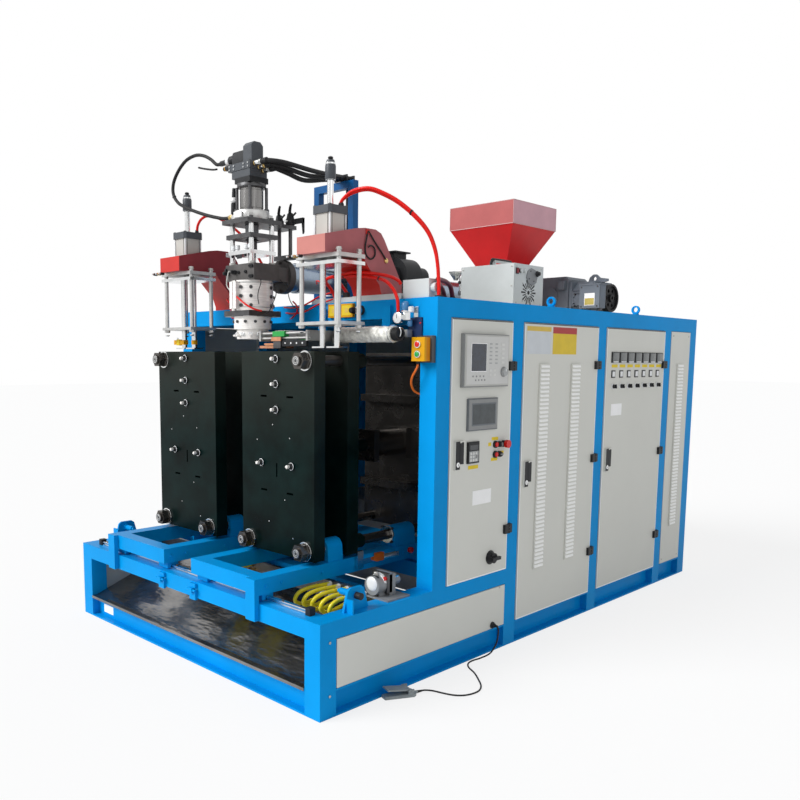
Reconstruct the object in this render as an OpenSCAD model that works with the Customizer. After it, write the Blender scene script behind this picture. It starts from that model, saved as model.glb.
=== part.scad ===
// Double-station extrusion blow moulding machine, in millimetres.
// Inside the modules Y is counted from the front face of the base. The last step, centred(), moves
// the model so that its origin is on the floor, at the middle of the base's length and width.

/* [Frame] */
// Width of the base and of the tall body
body_w = 2050; // [2000:10:2300]
// Length of the machine along the floor
body_l = 3542; // [3500:10:3900]
// Height of the tall body
body_h = 1780; // [1760:10:1900]
// Height of the low base in front
base_h = 418; // [400:2:440]
// Distance from the front of the base to the front of the tall body
body_y = 716; // [700:4:760]
// Width of the square frame tubes
tube = 96; // [80:2:110]
// Height of the bottom channels
channel_h = 120; // [100:2:130]
// Depth of the bottom channels' recess
channel_recess = 42; // [30:2:55]
// Thickness of the channels' web and flanges
channel_t = 9; // [6:1:12]
// Thickness of the sheet panels
sheet = 2; // [1.5:0.5:3]

/* [Doors] */
// Running gap round a door
door_gap = 3; // [2:0.5:5]
// How far the doors stand out of the frame
door_proud = 6; // [4:1:10]
// Depth of the doors' turned edges
door_depth = 25; // [18:1:40]
// Width of the front door's opening
front_door_w = 495; // [480:5:520]
// Width of the middle door's opening
middle_door_w = 766; // [740:2:780]
// Width of the fixed louvred panel behind the doors
vent_w = 300; // [280:2:340]
// Length of a louvre slot
louvre_w = 82; // [60:2:110]
// Pitch of the louvre slots
louvre_pitch = 33; // [28:1:45]
// Height of a louvre slot
louvre_h = 10; // [7:1:14]
// Radius of the hinge pins
hinge_pin_r = 4; // [3:0.5:5]

/* [Mould clamps] */
// Width of a platen
platen_w = 540; // [500:10:560]
// Distance from the body's top down to the platens' upper edge
platen_drop = 247; // [240:1:260]
// Thickness of the front platens
platen_t = 69; // [55:1:80]
// Thickness of the middle platens
middle_t = 77; // [60:1:85]
// Gap between the platens when the mould is open
daylight = 146; // [140:2:180]
// Height of the platens' lower edge above the base
platen_up = 130; // [128:1:138]
// Radius of the tie bars
tie_r = 25; // [20:1:28]
// Distance of the tie bars from a platen's centre line
tie_x = 211; // [200:1:215]
// Distance from a platen's edge to the nearest tie bar
tie_edge = 44; // [40:1:48]
// Across flats of the tie bar nuts
nut_af = 73; // [60:1:76]
// Running clearance of the tie bars in their bushes
bush_gap = 0.08; // [0.02:0.02:0.1]
// Radius of the clamp cylinders
clamp_r = 75; // [60:1:85]
// Radius of the clamp cylinders' rods
clamp_rod_r = 35; // [28:1:40]

/* [Carriages] */
// Width of a carriage
carriage_w = 530; // [510:5:540]
// Length of a carriage
carriage_l = 1180; // [1160:5:1190]
// Height of the carriage beams
carriage_h = 75; // [70:1:80]
// Width of the carriage beams
carriage_beam = 75; // [65:1:80]
// Centre of the left carriage at rest
left_x = -411; // [-450:1:-400]
// Centre of the right carriage at rest
right_x = 361; // [350:1:400]
// Width of the linear rails
rail_w = 23; // [20:1:30]
// Height of the linear rails
rail_h = 24; // [20:1:28]
// Clearance of the bearing blocks round the rails
rail_gap = 0.5; // [0.3:0.1:0.8]

/* [Blow units] */
// Distance of the blow units from the machine's centre
blow_x = 583; // [570:1:600]
// Parting plane, counted from the front of the base
part_y = 467; // [460:1:474]
// Width of the red arms
arm_w = 190; // [170:2:210]
// Thickness of the arms' plates
arm_t = 10; // [6:1:14]
// Side of the blow cylinders' end caps
blow_cap = 124; // [110:2:130]
// Radius of the blow cylinders' rods
blow_rod_r = 15; // [12:1:18]
// Radius of the guide posts
post_r = 11; // [9:1:13]
// Width of the guide plates
guide_w = 288; // [270:2:300]
// Depth of the guide plates
guide_d = 170; // [160:2:180]
// Distance between the two blow pins
pin_pitch = 100; // [90:2:110]

/* [Head and extruder] */
// Height of the extruder's axis above the floor, on a body roof_h high
barrel_z = 1928; // [1910:1:1950]
// Radius of the barrel's cover
barrel_r = 76; // [60:1:90]
// Distance of the hopper from the front of the base
hopper_y = 2675; // [2500:5:2700]
// Half of the hopper rim's width
hopper_half = 258; // [220:2:270]
// Height of the hopper's rim above the floor, on a body roof_h high
hopper_top = 2538; // [2500:2:2600]
// Radius of the head's clamped body
head_r = 107; // [95:1:115]
// Radius of the die ring
die_r = 82; // [70:1:90]
// Side of the upper head plate
plate_a = 212; // [200:2:220]
// Radius of the fan wheel on the motor
fan_r = 95; // [80:1:110]

/* [Hidden] */

blue = "#1c8fe0";
grey = "#c3c0b6";
black = "#1d211f";
chrome = "#c9cdd0";
steel = "#a3a6a6";
red = "#c4232a";

hw = body_w / 2;
inner = hw - tube;
eps = 0.01;
seat = 0.3;

// Openings between the posts of the right side, counted from the front of the base
post1 = body_y + 101;
front_door_y = post1;
post2 = front_door_y + front_door_w;
middle_door_y = post2 + 100;
post3 = middle_door_y + middle_door_w;
rear_door_y = post3 + 98;
last_post = body_l - 95;
vent_y = last_post - vent_w;
post4 = vent_y - 97;
rear_door_w = post4 - rear_door_y;
rail_low = body_h - 88;
beam_low = base_h - 79;

// The head and the roof's parts are drawn for a body of this height, and on_roof() lifts them with the roof
roof_h = 1780;
platen_z = base_h + platen_up;
platen_h = body_h - platen_drop - platen_z;

function centre_y() = body_l / 2;

module centred() {
  translate([0, -centre_y(), 0]) children();
}

module on_roof() {
  translate([0, 0, body_h - roof_h]) centred() children();
}

module box(x, y, z) {
  translate([x[0], y[0], z[0]]) cube([x[1] - x[0], y[1] - y[0], z[1] - z[0]]);
}

module both_sides() {
  children();
  mirror([1, 0, 0]) children();
}

// A cylinder along Y from y0 to y1
module rod_y(x, z, y0, y1, r, fn = 48) {
  translate([x, y1, z]) rotate([90, 0, 0]) cylinder(r = r, h = y1 - y0, $fn = fn);
}

// A cylinder along X from x0 to x1
module rod_x(y, z, x0, x1, r, fn = 48) {
  translate([x0, y, z]) rotate([0, 90, 0]) cylinder(r = r, h = x1 - x0, $fn = fn);
}

module rod_z(x, y, z0, z1, r, fn = 48) {
  translate([x, y, z0]) cylinder(r = r, h = z1 - z0, $fn = fn);
}

// A channel along Y on the side at x = hw, its recess facing outwards
module side_channel(y0, y1) {
  box([hw - channel_recess - channel_t, hw - channel_recess], [y0, y1], [0, channel_h]);
  box([hw - channel_recess - eps, hw], [y0, y1], [0, channel_t]);
  box([hw - channel_recess - eps, hw], [y0, y1], [channel_h - channel_t, channel_h]);
}

base_post_d = 93;
chute_run = 610;
chute_angle = 20;
chute_back_y = 30 + chute_run;
chute_back_z = channel_h + chute_run * tan(chute_angle);
rear_rail_y = 1120;
front_rail_y = 60;
front_beam_d = 100;

module base_frame() {
  color(blue) centred() {
    both_sides() {
      box([inner, hw], [0, base_post_d], [0, base_h]);
      box([inner, hw], [base_post_d - eps, post2 + eps], [beam_low, base_h]);
      side_channel(base_post_d - eps, post2 + eps);
    }
    box([-inner - eps, inner + eps], [0, front_beam_d], [beam_low, base_h]);
    box([-inner - eps, inner + eps], [channel_recess, channel_recess + channel_t], [0, channel_h]);
    box([-inner - eps, inner + eps], [0, channel_recess + eps], [0, channel_t]);
    box([-inner - eps, inner + eps], [0, channel_recess + eps], [channel_h - channel_t, channel_h]);
    box([-inner - eps, inner + eps], [rear_rail_y - 50, rear_rail_y + 50], [beam_low, base_h]);
    box([-inner - eps, inner + eps], [chute_back_y, chute_back_y + 40],
      [chute_back_z - 40, chute_back_z - seat]);
    both_sides() box([inner - 40, inner + eps], [chute_back_y + 40 - eps, chute_back_y + 80],
      [chute_back_z - 40, base_h - 20]);
  }
}

web_x = hw - channel_recess - channel_t;
module cross_member(y, d, z, h = 90) {
  box([-inner + seat, inner - seat], [y, y + d], [z, z + h]);
}

module body_frame() {
  color(blue) centred() {
    both_sides() {
      box([inner, hw], [body_y, post1], [base_h + eps, body_h]);
      box([inner, hw], [post2 + 2 * eps, middle_door_y], [0, body_h]);
      box([inner, hw], [post3, rear_door_y], [0, body_h]);
      box([inner, hw], [post4, vent_y], [0, body_h]);
      box([inner, hw], [last_post, body_l], [0, body_h]);
      box([inner, hw], [body_y, body_l], [rail_low, body_h]);
      side_channel(middle_door_y - eps, post3 + eps);
      side_channel(rear_door_y - eps, post4 + eps);
      side_channel(vent_y - eps, last_post + eps);
    }
    for (y = [body_y, post2 + 2 * eps, post3, post4, last_post])
      cross_member(y, y == body_y ? tube : 90, rail_low - 2);
    for (y = [post2 + 2 * eps, post3, post4, last_post]) cross_member(y, 90, 0, channel_h);
    box([-web_x + seat, web_x - seat], [centre_y() - 40, centre_y() + 40], [0, channel_h - channel_t]);
  }
}

// Columns of louvre slots in a plate that lies in the XY plane, x across and y up
module louvre_slots(x, y0, y1) {
  n = floor((y1 - y0) / louvre_pitch);
  for (i = [0 : n]) translate([x - louvre_w / 2, y0 + i * louvre_pitch]) square([louvre_w, louvre_h]);
}

// Pressed hoods over the slots, standing out along +Z
module louvre_hoods(x, y0, y1, t) {
  n = floor((y1 - y0) / louvre_pitch);
  for (i = [0 : n]) translate([x - louvre_w / 2 - 2, y0 + i * louvre_pitch + louvre_h - eps, t])
    rotate([90, 0, 90]) linear_extrude(louvre_w + 4)
      polygon([[3, -0.5], [3, 0], [-louvre_h, 7], [-louvre_h - 1.5, 7], [-1, -0.5]]);
}

louvre_low = 380;
louvre_high = 1460;

// A sheet with its face towards +X: y across and z up, columns lists the louvre columns' y
module side_sheet(y0, y1, z0, z1, x_face, columns = []) {
  translate([x_face - sheet, 0, 0]) rotate([90, 0, 90]) {
    linear_extrude(sheet) difference() {
      translate([y0, z0]) square([y1 - y0, z1 - z0]);
      for (c = columns) louvre_slots(c, louvre_low, louvre_high);
    }
    for (c = columns) louvre_hoods(c, louvre_low, louvre_high, sheet);
  }
}

// The turned edges of a panel or a door
module turned_edges(y0, y1, z0, z1, x_face, depth) {
  difference() {
    box([x_face - depth, x_face - sheet + eps], [y0, y1], [z0, z1]);
    box([x_face - depth - 1, x_face], [y0 + sheet, y1 - sheet], [z0 + sheet, z1 - sheet]);
  }
}

vent_columns = [vent_y + 153];
panel_face = hw + 2;

module panel(y0, y1, z0, z1, columns = []) {
  side_sheet(y0 + door_gap, y1 - door_gap, z0 + door_gap, z1 - door_gap, panel_face, columns);
  turned_edges(y0 + door_gap, y1 - door_gap, z0 + door_gap, z1 - door_gap, panel_face, 20);
  for (z = [z0 + (z1 - z0) / 4, z1 - (z1 - z0) / 4]) {
    box([panel_face - 18, panel_face - 8], [y0, y0 + door_gap + eps], [z - 20, z + 20]);
    box([panel_face - 18, panel_face - 8], [y1 - door_gap - eps, y1], [z - 20, z + 20]);
  }
}

panel_t = 3;
gland_y = 1205;
gland_z = 142;
module fixed_panels() {
  color(grey) centred() {
    panel(vent_y, last_post, channel_h, rail_low, vent_columns);
    both_sides() panel(base_post_d, post2, channel_h, beam_low);
    mirror([1, 0, 0]) {
      panel(front_door_y, post2, base_h, rail_low);
      panel(middle_door_y, post3, channel_h, rail_low, [middle_door_y + 200, post3 - 200]);
      panel(rear_door_y, post4, channel_h, rail_low, [rear_door_y, post4] + rear_door_w * [0.26, -0.26]);
      panel(vent_y, last_post, channel_h, rail_low, vent_columns);
    }
    both_sides() box([4, inner + 40], [body_l, body_l + sheet], [channel_h - 30, body_h - 40]);
    rod_x(gland_y, gland_z, panel_face - eps, panel_face + 8, 12, 6);
    rod_x(gland_y, gland_z, panel_face + 8 - eps, panel_face + 18, 8, 24);
    box([-inner + 1, inner - 1], [body_y + tube + 1, last_post - 1], [body_h, body_h + panel_t]);
  }
}

module product_chute() {
  color(chrome) centred()
    translate([-inner + 2, 0, 0]) rotate([90, 0, 90]) linear_extrude(2 * inner - 4)
      polygon([[-4, channel_h - 12], [-2, channel_h - 12], [-2, channel_h + seat], [30, channel_h + seat],
        [chute_back_y, chute_back_z + seat], [chute_back_y + 39, chute_back_z + seat],
        [chute_back_y + 39, chute_back_z + 2 + seat], [chute_back_y, chute_back_z + 2 + seat],
        [29, channel_h + 2 + seat], [-4, channel_h + 2 + seat]]);
}

plate_x = inner + 6;
plate_t = 3;
module electrics_plate() {
  color(steel) centred() {
    box([plate_x, plate_x + plate_t], [post1, post2], [base_h + seat, rail_low - 40]);
    for (z = [620, 900, 1180]) box([plate_x + plate_t - eps, plate_x + 53], [post1 + 60, post2 - 60],
      [z, z + 110]);
    box([plate_x, plate_x + plate_t], [rear_door_y, post4], [channel_h + 60, rail_low - 40]);
    for (z = [300, 560, 820, 1080]) box([plate_x + plate_t - eps, plate_x + 53],
      [rear_door_y + 80, post4 - 80], [z, z + 120]);
  }
}

module hydraulic_unit() {
  color(steel) centred() {
    box([-500, 500], [middle_door_y + 30, post3 - 30], [channel_h - channel_t, 620]);
    box([-200, -40], [middle_door_y + 120, middle_door_y + 460], [620 - eps, 640]);
    rod_y(-120, 740, middle_door_y + 130, middle_door_y + 420, 100);
    box([-180, -60], [middle_door_y + 140, middle_door_y + 400], [640 - eps, 700]);
    rod_y(-120, 740, middle_door_y + 420 - eps, middle_door_y + 540, 60);
    rod_z(250, middle_door_y + 200, 620 - eps, 720, 60);
  }
}

module shuttle_rails() {
  color(chrome) centred() for (y = [front_rail_y, rear_rail_y])
    translate([-inner + 30, y, base_h]) rotate([90, 0, 90]) linear_extrude(2 * inner - 60)
      polygon([[-rail_w / 2, 0], [rail_w / 2, 0], [rail_w / 2, 8], [rail_w / 2 - 4, 11],
        [rail_w / 2 - 4, 15],
        [rail_w / 2, 18], [rail_w / 2, rail_h - 2], [rail_w / 2 - 2, rail_h], [-rail_w / 2 + 2, rail_h],
        [-rail_w / 2, rail_h - 2], [-rail_w / 2, 18], [-rail_w / 2 + 4, 15], [-rail_w / 2 + 4, 11],
        [-rail_w / 2, 8]]);
}

stop_x = [-156, 124];
stop_y = 250;
stop_z = base_h + 67;
module travel_stops() {
  color(blue) centred() both_sides() {
    translate([hw - 58, stop_y - 70, base_h]) rotate([90, 0, 90]) linear_extrude(12) difference() {
      polygon([[0, 0], [150, 0], [125, 90], [108, 102], [42, 102], [25, 90]]);
      translate([70, 67]) circle(r = 15.2, $fn = 32);
    }
    rod_x(stop_y, stop_z, hw - 135, hw - 12, 15, 32);
    rod_x(stop_y, stop_z, hw - 150, hw - 135 + eps, 9, 24);
    rod_x(stop_y, stop_z, hw - 72, hw - 58 - eps, 22, 6);
    translate([hw - 46 - eps, stop_y - 56, base_h]) cube([40, 8, 60]);
  }
  color(blue) centred() for (x = stop_x) {
    box([x - 24, x + 24], [-14, 0], [beam_low - 8, base_h - 6]);
    rod_x(-20, base_h - 38, x - 34, x + 34, 6, 24);
    box([x - 14, x + 14], [-28, -14 + eps], [base_h - 50, base_h - 26]);
  }
}

drive_x = hw - 120;
drive_y = 430;
drive_z = base_h + 57;
module shuttle_drive() {
  color(steel) centred() {
    box([drive_x - 45, hw - 20], [drive_y, drive_y + 150], [base_h, base_h + 8]);
    rod_y(drive_x, drive_z, drive_y, drive_y + 72, 44);
    box([drive_x - 45, drive_x + 45], [drive_y + 72 - eps, drive_y + 112],
      [base_h + 8 - eps, base_h + 104]);
    rod_y(drive_x, drive_z, drive_y + 112 - eps, drive_y + 175, 20);
    box([drive_x - 30, drive_x + 30], [drive_y + 20, drive_y + 60], [base_h + 8 - eps, drive_z]);
  }
}

// The head, from the die ring at the bottom to the valve on top
die_z = 1597;
ring_z = 1647;
body_z = 1740;
block_z = 1891;
block_top = 1973;
plate_b_z = 2100;
plate_a_z = 2172;
plate_h = 22;
tie_in_a = 78;

module head_block() {
  color(black) on_roof() difference() {
    union() {
      box([-118, 118], [part_y - 81, part_y + 81], [block_z, block_top]);
      box([-70, 70], [part_y + 81 - eps, part_y + 190], [block_z + 5, block_top - 5]);
      rod_y(0, barrel_z, part_y + 188, part_y + 224, 88);
      for (a = [30 : 60 : 330]) rod_y(74 * cos(a), barrel_z + 74 * sin(a), part_y + 176,
        part_y + 188 + eps, 9, 6);
    }
    rod_z(0, part_y, block_z - 1, block_top + 1, 40);
  }
}

module head_body() {
  color(chrome) on_roof() difference() {
    union() {
      rod_z(0, part_y, body_z, block_z, head_r, 64);
      box([-26, 26], [part_y - head_r - 20, part_y - head_r + 20], [body_z + 8, block_z - 8]);
      rod_z(0, part_y, ring_z, body_z - 30 + eps, 96, 64);
      box([-100, 100], [part_y - 100, part_y + 100], [body_z - 30, body_z + eps]);
    }
    rod_z(0, part_y, ring_z - 1, block_z + 1, 40);
    box([-3, 3], [part_y - head_r - 21, part_y - head_r + 30], [body_z + 7, block_z + 1]);
    for (a = [0 : 30 : 330]) rotate_about(a) translate([0, -97, 1685]) rotate([-90, 0, 0])
      cylinder(r = 5, h = 14, $fn = 16);
  }
}

module rotate_about(a) {
  translate([0, part_y, 0]) rotate([0, 0, a]) children();
}

module die_ring() {
  color(chrome) on_roof() {
    difference() {
      rod_z(0, part_y, die_z, ring_z, die_r, 64);
      rod_z(0, part_y, die_z - 1, ring_z + 1, 36);
    }
    for (a = [0 : 45 : 315]) rotate_about(a) translate([0, -die_r + 2, die_z + 18]) rotate([90, 0, 0]) {
      cylinder(r = 9, h = 12, $fn = 6);
      cylinder(r = 5, h = 22, $fn = 16);
    }
  }
}

module head_yoke() {
  color(black) on_roof() {
    for (p = [[plate_a_z, plate_a / 2, 110], [plate_b_z, 100, 89]]) difference() {
      box([-p[1], p[1]], [part_y - p[2], part_y + p[2]], [p[0], p[0] + plate_h]);
      rod_z(0, part_y, p[0] - 1, p[0] + plate_h + 1, 36);
      for (x = [-1, 1], y = [-1, 1]) rod_z(x * tie_in_a, part_y + y * 66, p[0] - 1, p[0] + plate_h + 1,
        11);
    }
    for (x = [-1, 1], y = [-1, 1]) rod_z(x * tie_in_a, part_y + y * 66, block_top,
      plate_a_z + plate_h + 14, 11);
    box([-60, 60], [part_y + 110 - eps, part_y + 250], [plate_a_z, plate_a_z + 20]);
    for (x = [-45, 45]) {
      rod_z(x, part_y + 220, barrel_z + 96, plate_a_z + 60, 10, 24);
      rod_z(x, part_y + 220, plate_a_z + 20 - eps, plate_a_z + 44, 20, 6);
      translate([x, part_y + 220, plate_a_z + 56]) rotate([0, 60, 0]) cylinder(r = 5, h = 50, $fn = 16);
    }
    box([-70, 70], [part_y + 190, part_y + 240], [barrel_z + 88 + seat, barrel_z + 110]);
  }
}

cyl_z = plate_a_z + plate_h;
module programming_cylinder() {
  color(steel) on_roof() difference() {
    union() {
      box([-75, 75], [part_y - 75, part_y + 75], [cyl_z, cyl_z + 60]);
      rod_z(0, part_y, cyl_z + 60 - eps, cyl_z + 160, 66);
      box([-72, 72], [part_y - 72, part_y + 72], [cyl_z + 150, cyl_z + 182]);
      for (x = [-1, 1], y = [-1, 1]) rod_z(x * 60, part_y + y * 60, cyl_z + 50, cyl_z + 190, 7, 24);
      rod_z(-95, part_y - 40, cyl_z + 40, cyl_z + 170, 15, 24);
      box([-100, -70], [part_y - 50, part_y - 30], [cyl_z + 20, cyl_z + 60]);
    }
    rod_z(0, part_y, cyl_z - 1, cyl_z + 140, 20 + bush_gap);
    for (x = [-1, 1], y = [-1, 1]) rod_z(x * tie_in_a, part_y + y * 66, cyl_z - 1, cyl_z + 15, 11.3);
  }
}

valve_z = cyl_z + 182;
module servo_valve() {
  color(black) on_roof() {
    box([-105, 45], [part_y - 50, part_y + 50], [valve_z, valve_z + 50]);
    box([-125, 60], [part_y - 45, part_y + 45], [valve_z + 50 - eps, valve_z + 122]);
    box([-90, 20], [part_y - 40, part_y + 40], [valve_z + 122 - eps, valve_z + 172]);
    rod_z(-10, part_y, valve_z + 172 - eps, valve_z + 205, 26);
    rod_x(part_y, valve_z + 142, -260, -90 + eps, 17);
    rod_x(part_y, valve_z + 142, -215, -150, 27);
    rod_x(part_y, valve_z + 100, -200, -125 + eps, 14);
    for (i = [0 : 2]) rod_x(part_y - 28 + 28 * i, valve_z + 90 - 14 * i, 60 - eps, 90, 13, 24);
    rod_x(part_y, valve_z + 25, 45 - eps, 62, 16, 24);
  }
}

barrel_y0 = part_y + 224;
feed_y0 = hopper_y - 90;
module extruder_barrel() {
  color("#39506b") on_roof() {
    rod_y(0, barrel_z, barrel_y0, feed_y0 + eps, barrel_r, 64);
    for (i = [0 : 4]) rod_y(0, barrel_z, barrel_y0 + 60 + i * 360, barrel_y0 + 80 + i * 360,
      barrel_r + 4, 64);
    difference() {
      box([-100, 100], [feed_y0, hopper_y + 90], [barrel_z - 95, barrel_z + 82]);
      box([-45, 45], [hopper_y - 45, hopper_y + 45], [barrel_z, barrel_z + 83]);
    }
  }
}

stand_y = 1060;
stand_top = 2466;
module barrel_stand() {
  color(blue) on_roof() {
    both_sides() {
      box([118, 158], [stand_y - 20, stand_y + 20], [roof_h + panel_t + 10 - eps, stand_top]);
      box([100, 190], [stand_y - 45, stand_y + 45], [roof_h + panel_t, roof_h + panel_t + 10]);
      translate([158 - eps, stand_y - 5, roof_h + panel_t + 10 - eps]) rotate([90, 0, 0])
        mirror([0, 0, 1])
        linear_extrude(10) polygon([[0, 0], [30, 0], [0, 120]]);
    }
    box([-158, 158], [stand_y - 20, stand_y + 20], [stand_top - 40, stand_top]);
    box([-118 - eps, 118 + eps], [stand_y - 20, stand_y + 20],
      [roof_h + panel_t + 10, barrel_z - barrel_r - seat]);
    for (y = [1650, 2300]) difference() {
      box([-90, 90], [y - 20, y + 20], [roof_h + panel_t, barrel_z]);
      rod_y(0, barrel_z, y - 21, y + 21, barrel_r + seat, 64);
    }
  }
}

blower_x = 285;
blower_y = 1300;
blower_z = 1958;
module cooling_blower() {
  color(black) on_roof() {
    rod_y(blower_x, blower_z, blower_y - 65, blower_y + 65, 98, 64);
    rod_y(blower_x, blower_z, blower_y - 100, blower_y - 65 + eps, 55);
    rod_y(blower_x, blower_z, blower_y + 65 - eps, blower_y + 170, 60);
    box([blower_x - 98, blower_x - 10], [blower_y - 50, blower_y + 50], [blower_z, blower_z + 130]);
    box([blower_x - 110, blower_x + 10], [blower_y - 65, blower_y + 65],
      [blower_z + 130 - eps, blower_z + 138]);
    box([blower_x - 80, blower_x + 80], [blower_y - 60, blower_y + 160],
      [roof_h + panel_t, roof_h + panel_t + 8]);
    box([blower_x - 50, blower_x + 50], [blower_y - 40, blower_y + 150],
      [roof_h + panel_t + 8 - eps, blower_z - 50]);
    box([-10, blower_x - 98 + eps], [blower_y - 30, blower_y + 30],
      [barrel_z + barrel_r + 5, barrel_z + barrel_r + 35]);
  }
}

neck_y = hopper_y + 90;
gear_y0 = neck_y + 225;
gear_x = 345;
gear_top = 2080;
gear_low = roof_h + panel_t + 30;
module gearbox() {
  color("#5a5f63") on_roof() {
    difference() {
      rod_y(0, barrel_z, neck_y, gear_y0 + eps, 98, 64);
      for (s = [-1, 1]) box([s * 98 - 30, s * 98 + 30], [neck_y + 50, gear_y0 - 40],
        [barrel_z - 45, barrel_z + 45]);
    }
    for (a = [15 : 30 : 345]) rod_y(84 * cos(a), barrel_z + 84 * sin(a), neck_y + 30, neck_y + 44, 7, 6);
    rod_y(0, barrel_z, neck_y, neck_y + 30, 98, 64);
    difference() {
      box([-gear_x, gear_x], [gear_y0, gear_y0 + 260], [gear_low, gear_top]);
      for (s = [-1, 1]) translate([s * gear_x, gear_y0 - 1, gear_top]) rotate([0, 45, 0])
        translate([-14, 0, -14]) cube([28, 262, 28]);
    }
    box([-gear_x + 20, gear_x - 60], [gear_y0 + 30, gear_y0 + 230], [roof_h + panel_t, gear_low + eps]);
    for (x = [-200, 200]) {
      translate([x, gear_y0 + eps, 1945]) rotate([90, 0, 0]) rotate([0, 0, 22.5])
        cylinder(r = 68, h = 8, $fn = 8);
      for (i = [-1, 1], k = [-1, 1]) rod_y(x + 46 * i, 1945 + 46 * k, gear_y0 - 14,
        gear_y0 - 8 + 2 * eps, 7, 6);
    }
    box([gear_x - 70, gear_x - 20], [gear_y0 - 24, gear_y0 + eps], [1990, 2050]);
  }
}

throat_z = barrel_z + 82;
rim_z = hopper_top - 151;
throat_half = 62;
wall = 2;
module hopper_shell(g) {
  hull() {
    translate([-throat_half + g, -throat_half + g, throat_z + 12])
      cube([2 * (throat_half - g), 2 * (throat_half - g), eps]);
    translate([-hopper_half + g, -hopper_half + g, rim_z]) cube([2 * (hopper_half - g),
      2 * (hopper_half - g), eps]);
  }
}

module hopper() {
  color(red) on_roof() translate([0, hopper_y, 0]) {
    difference() {
      union() {
        hopper_shell(0);
        box([-hopper_half, hopper_half], [-hopper_half, hopper_half], [rim_z, hopper_top]);
      }
      hopper_shell(wall);
      box([-hopper_half + wall, hopper_half - wall], [-hopper_half + wall, hopper_half - wall],
        [rim_z, hopper_top + 1]);
    }
    difference() {
      box([-90, 90], [-90, 90], [throat_z, throat_z + 12 + eps]);
      box([-throat_half + wall, throat_half - wall], [-throat_half + wall, throat_half - wall],
        [throat_z - 1, throat_z + 14]);
    }
  }
}

motor_y = gear_y0 + 130;
motor_z = 1925;
motor_x0 = gear_x;
motor_x1 = 540;
motor_r = 128;
module drive_motor() {
  color("#565b60") on_roof() {
    box([motor_x0, motor_x0 + 22], [motor_y - 120, motor_y + 120], [motor_z - 105, motor_z + 120]);
    difference() {
      translate([motor_x0 + 22 - eps, motor_y, motor_z]) rotate([0, 90, 0]) rotate([0, 0, 22.5])
        cylinder(r = motor_r, h = motor_x1 - motor_x0 - 42, $fn = 8);
      for (i = [0 : 5]) translate([motor_x0 + 34, motor_y - motor_r - 2, motor_z - 58 + 21 * i])
        cube([80, 24, 8]);
    }
    box([motor_x1 - 22, motor_x1], [motor_y - 118, motor_y + 118], [motor_z - 105, motor_z + 112]);
    box([motor_x1 - 66, motor_x1 + 81], [motor_y - 190, motor_y - 116], [motor_z - 75, motor_z + 80]);
    rod_x(motor_y, motor_z, motor_x1 - eps, motor_x1 + 18, 40);
    box([motor_x0 + 60, motor_x1 - 30], [motor_y - 100, motor_y + 100], [roof_h + panel_t, motor_z - 90]);
    difference() {
      translate([motor_x1 - 100, motor_y - 20, motor_z + 105]) rotate([90, 0, 0]) linear_extrude(18)
        polygon([[0, 0], [16, 42], [40, 60], [64, 60], [90, 36], [150, 26], [150, 10], [100, 0]]);
      translate([motor_x1 - 48, motor_y - 19, motor_z + 136]) rotate([90, 0, 0])
        cylinder(r = 14, h = 20, $fn = 32);
    }
  }
}

module motor_fan() {
  color(black) on_roof() difference() {
    union() {
      rod_x(motor_y, motor_z, motor_x1 + 18 + seat, motor_x1 + 70, 26);
      difference() {
        rod_x(motor_y, motor_z, motor_x1 + 25, motor_x1 + 68, fan_r, 64);
        rod_x(motor_y, motor_z, motor_x1 + 24, motor_x1 + 38, fan_r - 14, 64);
        rod_x(motor_y, motor_z, motor_x1 + 55, motor_x1 + 69, fan_r - 14, 64);
      }
    }
    rod_x(motor_y, motor_z, motor_x1 + 55, motor_x1 + 71, 12, 32);
    for (a = [0 : 60 : 300]) translate([motor_x1 + 37, motor_y + 54 * cos(a), motor_z + 54 * sin(a)])
      rotate([0, 90, 0]) cylinder(r = 13, h = 20, $fn = 24);
  }
}

// Side outline of a red arm, Y across and Z up
arm_front = 345;
arm_foot_y = 720;
arm_foot_end = 862;
arm_seat_z = 1973;
foot_step_y = body_y + tube + 0.7;
arm_outline = [[arm_front, arm_seat_z], [588, arm_seat_z], [622, 1930], [700, 1850], [arm_foot_y, 1800],
  [arm_foot_y, roof_h], [foot_step_y, roof_h], [foot_step_y, roof_h + panel_t],
    [arm_foot_end, roof_h + panel_t],
  [arm_foot_end, 1862], [735, 2060], [710, 2090], [672, 2104], [600, 2104], [543, 2096],
    [arm_front, 2052]];
arm_inner = [[arm_front + arm_t, arm_seat_z + 14], [arm_front + arm_t, 2042], [543, 2086], [600, 2094],
  [670, 2094],
  [702, 2082], [726, 2055], [arm_foot_end - 10, 1858], [arm_foot_end - 10, roof_h + 15],
    [arm_foot_y + 10, roof_h + 15],
  [arm_foot_y + 10, 1806], [709, 1856], [629, 1938], [594, arm_seat_z + 14]];

module blow_arm() {
  difference() {
    translate([-arm_w / 2, 0, 0]) rotate([90, 0, 90]) linear_extrude(arm_w) polygon(arm_outline);
    translate([-arm_w / 2 + arm_t, 0, 0]) rotate([90, 0, 90]) linear_extrude(arm_w - 2 * arm_t)
      polygon(arm_inner);
    box([-blow_cap / 2 - 1, blow_cap / 2 + 1], [part_y - blow_cap / 2 - 1, part_y + blow_cap / 2 + 1],
      [2030, 2110]);
    rod_z(0, part_y, arm_seat_z - 1, arm_seat_z + 15, blow_rod_r + 3, 32);
  }
}

module blow_arms() {
  color(red) on_roof() for (s = [-1, 1]) translate([s * blow_x, 0, 0]) blow_arm();
}

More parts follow.
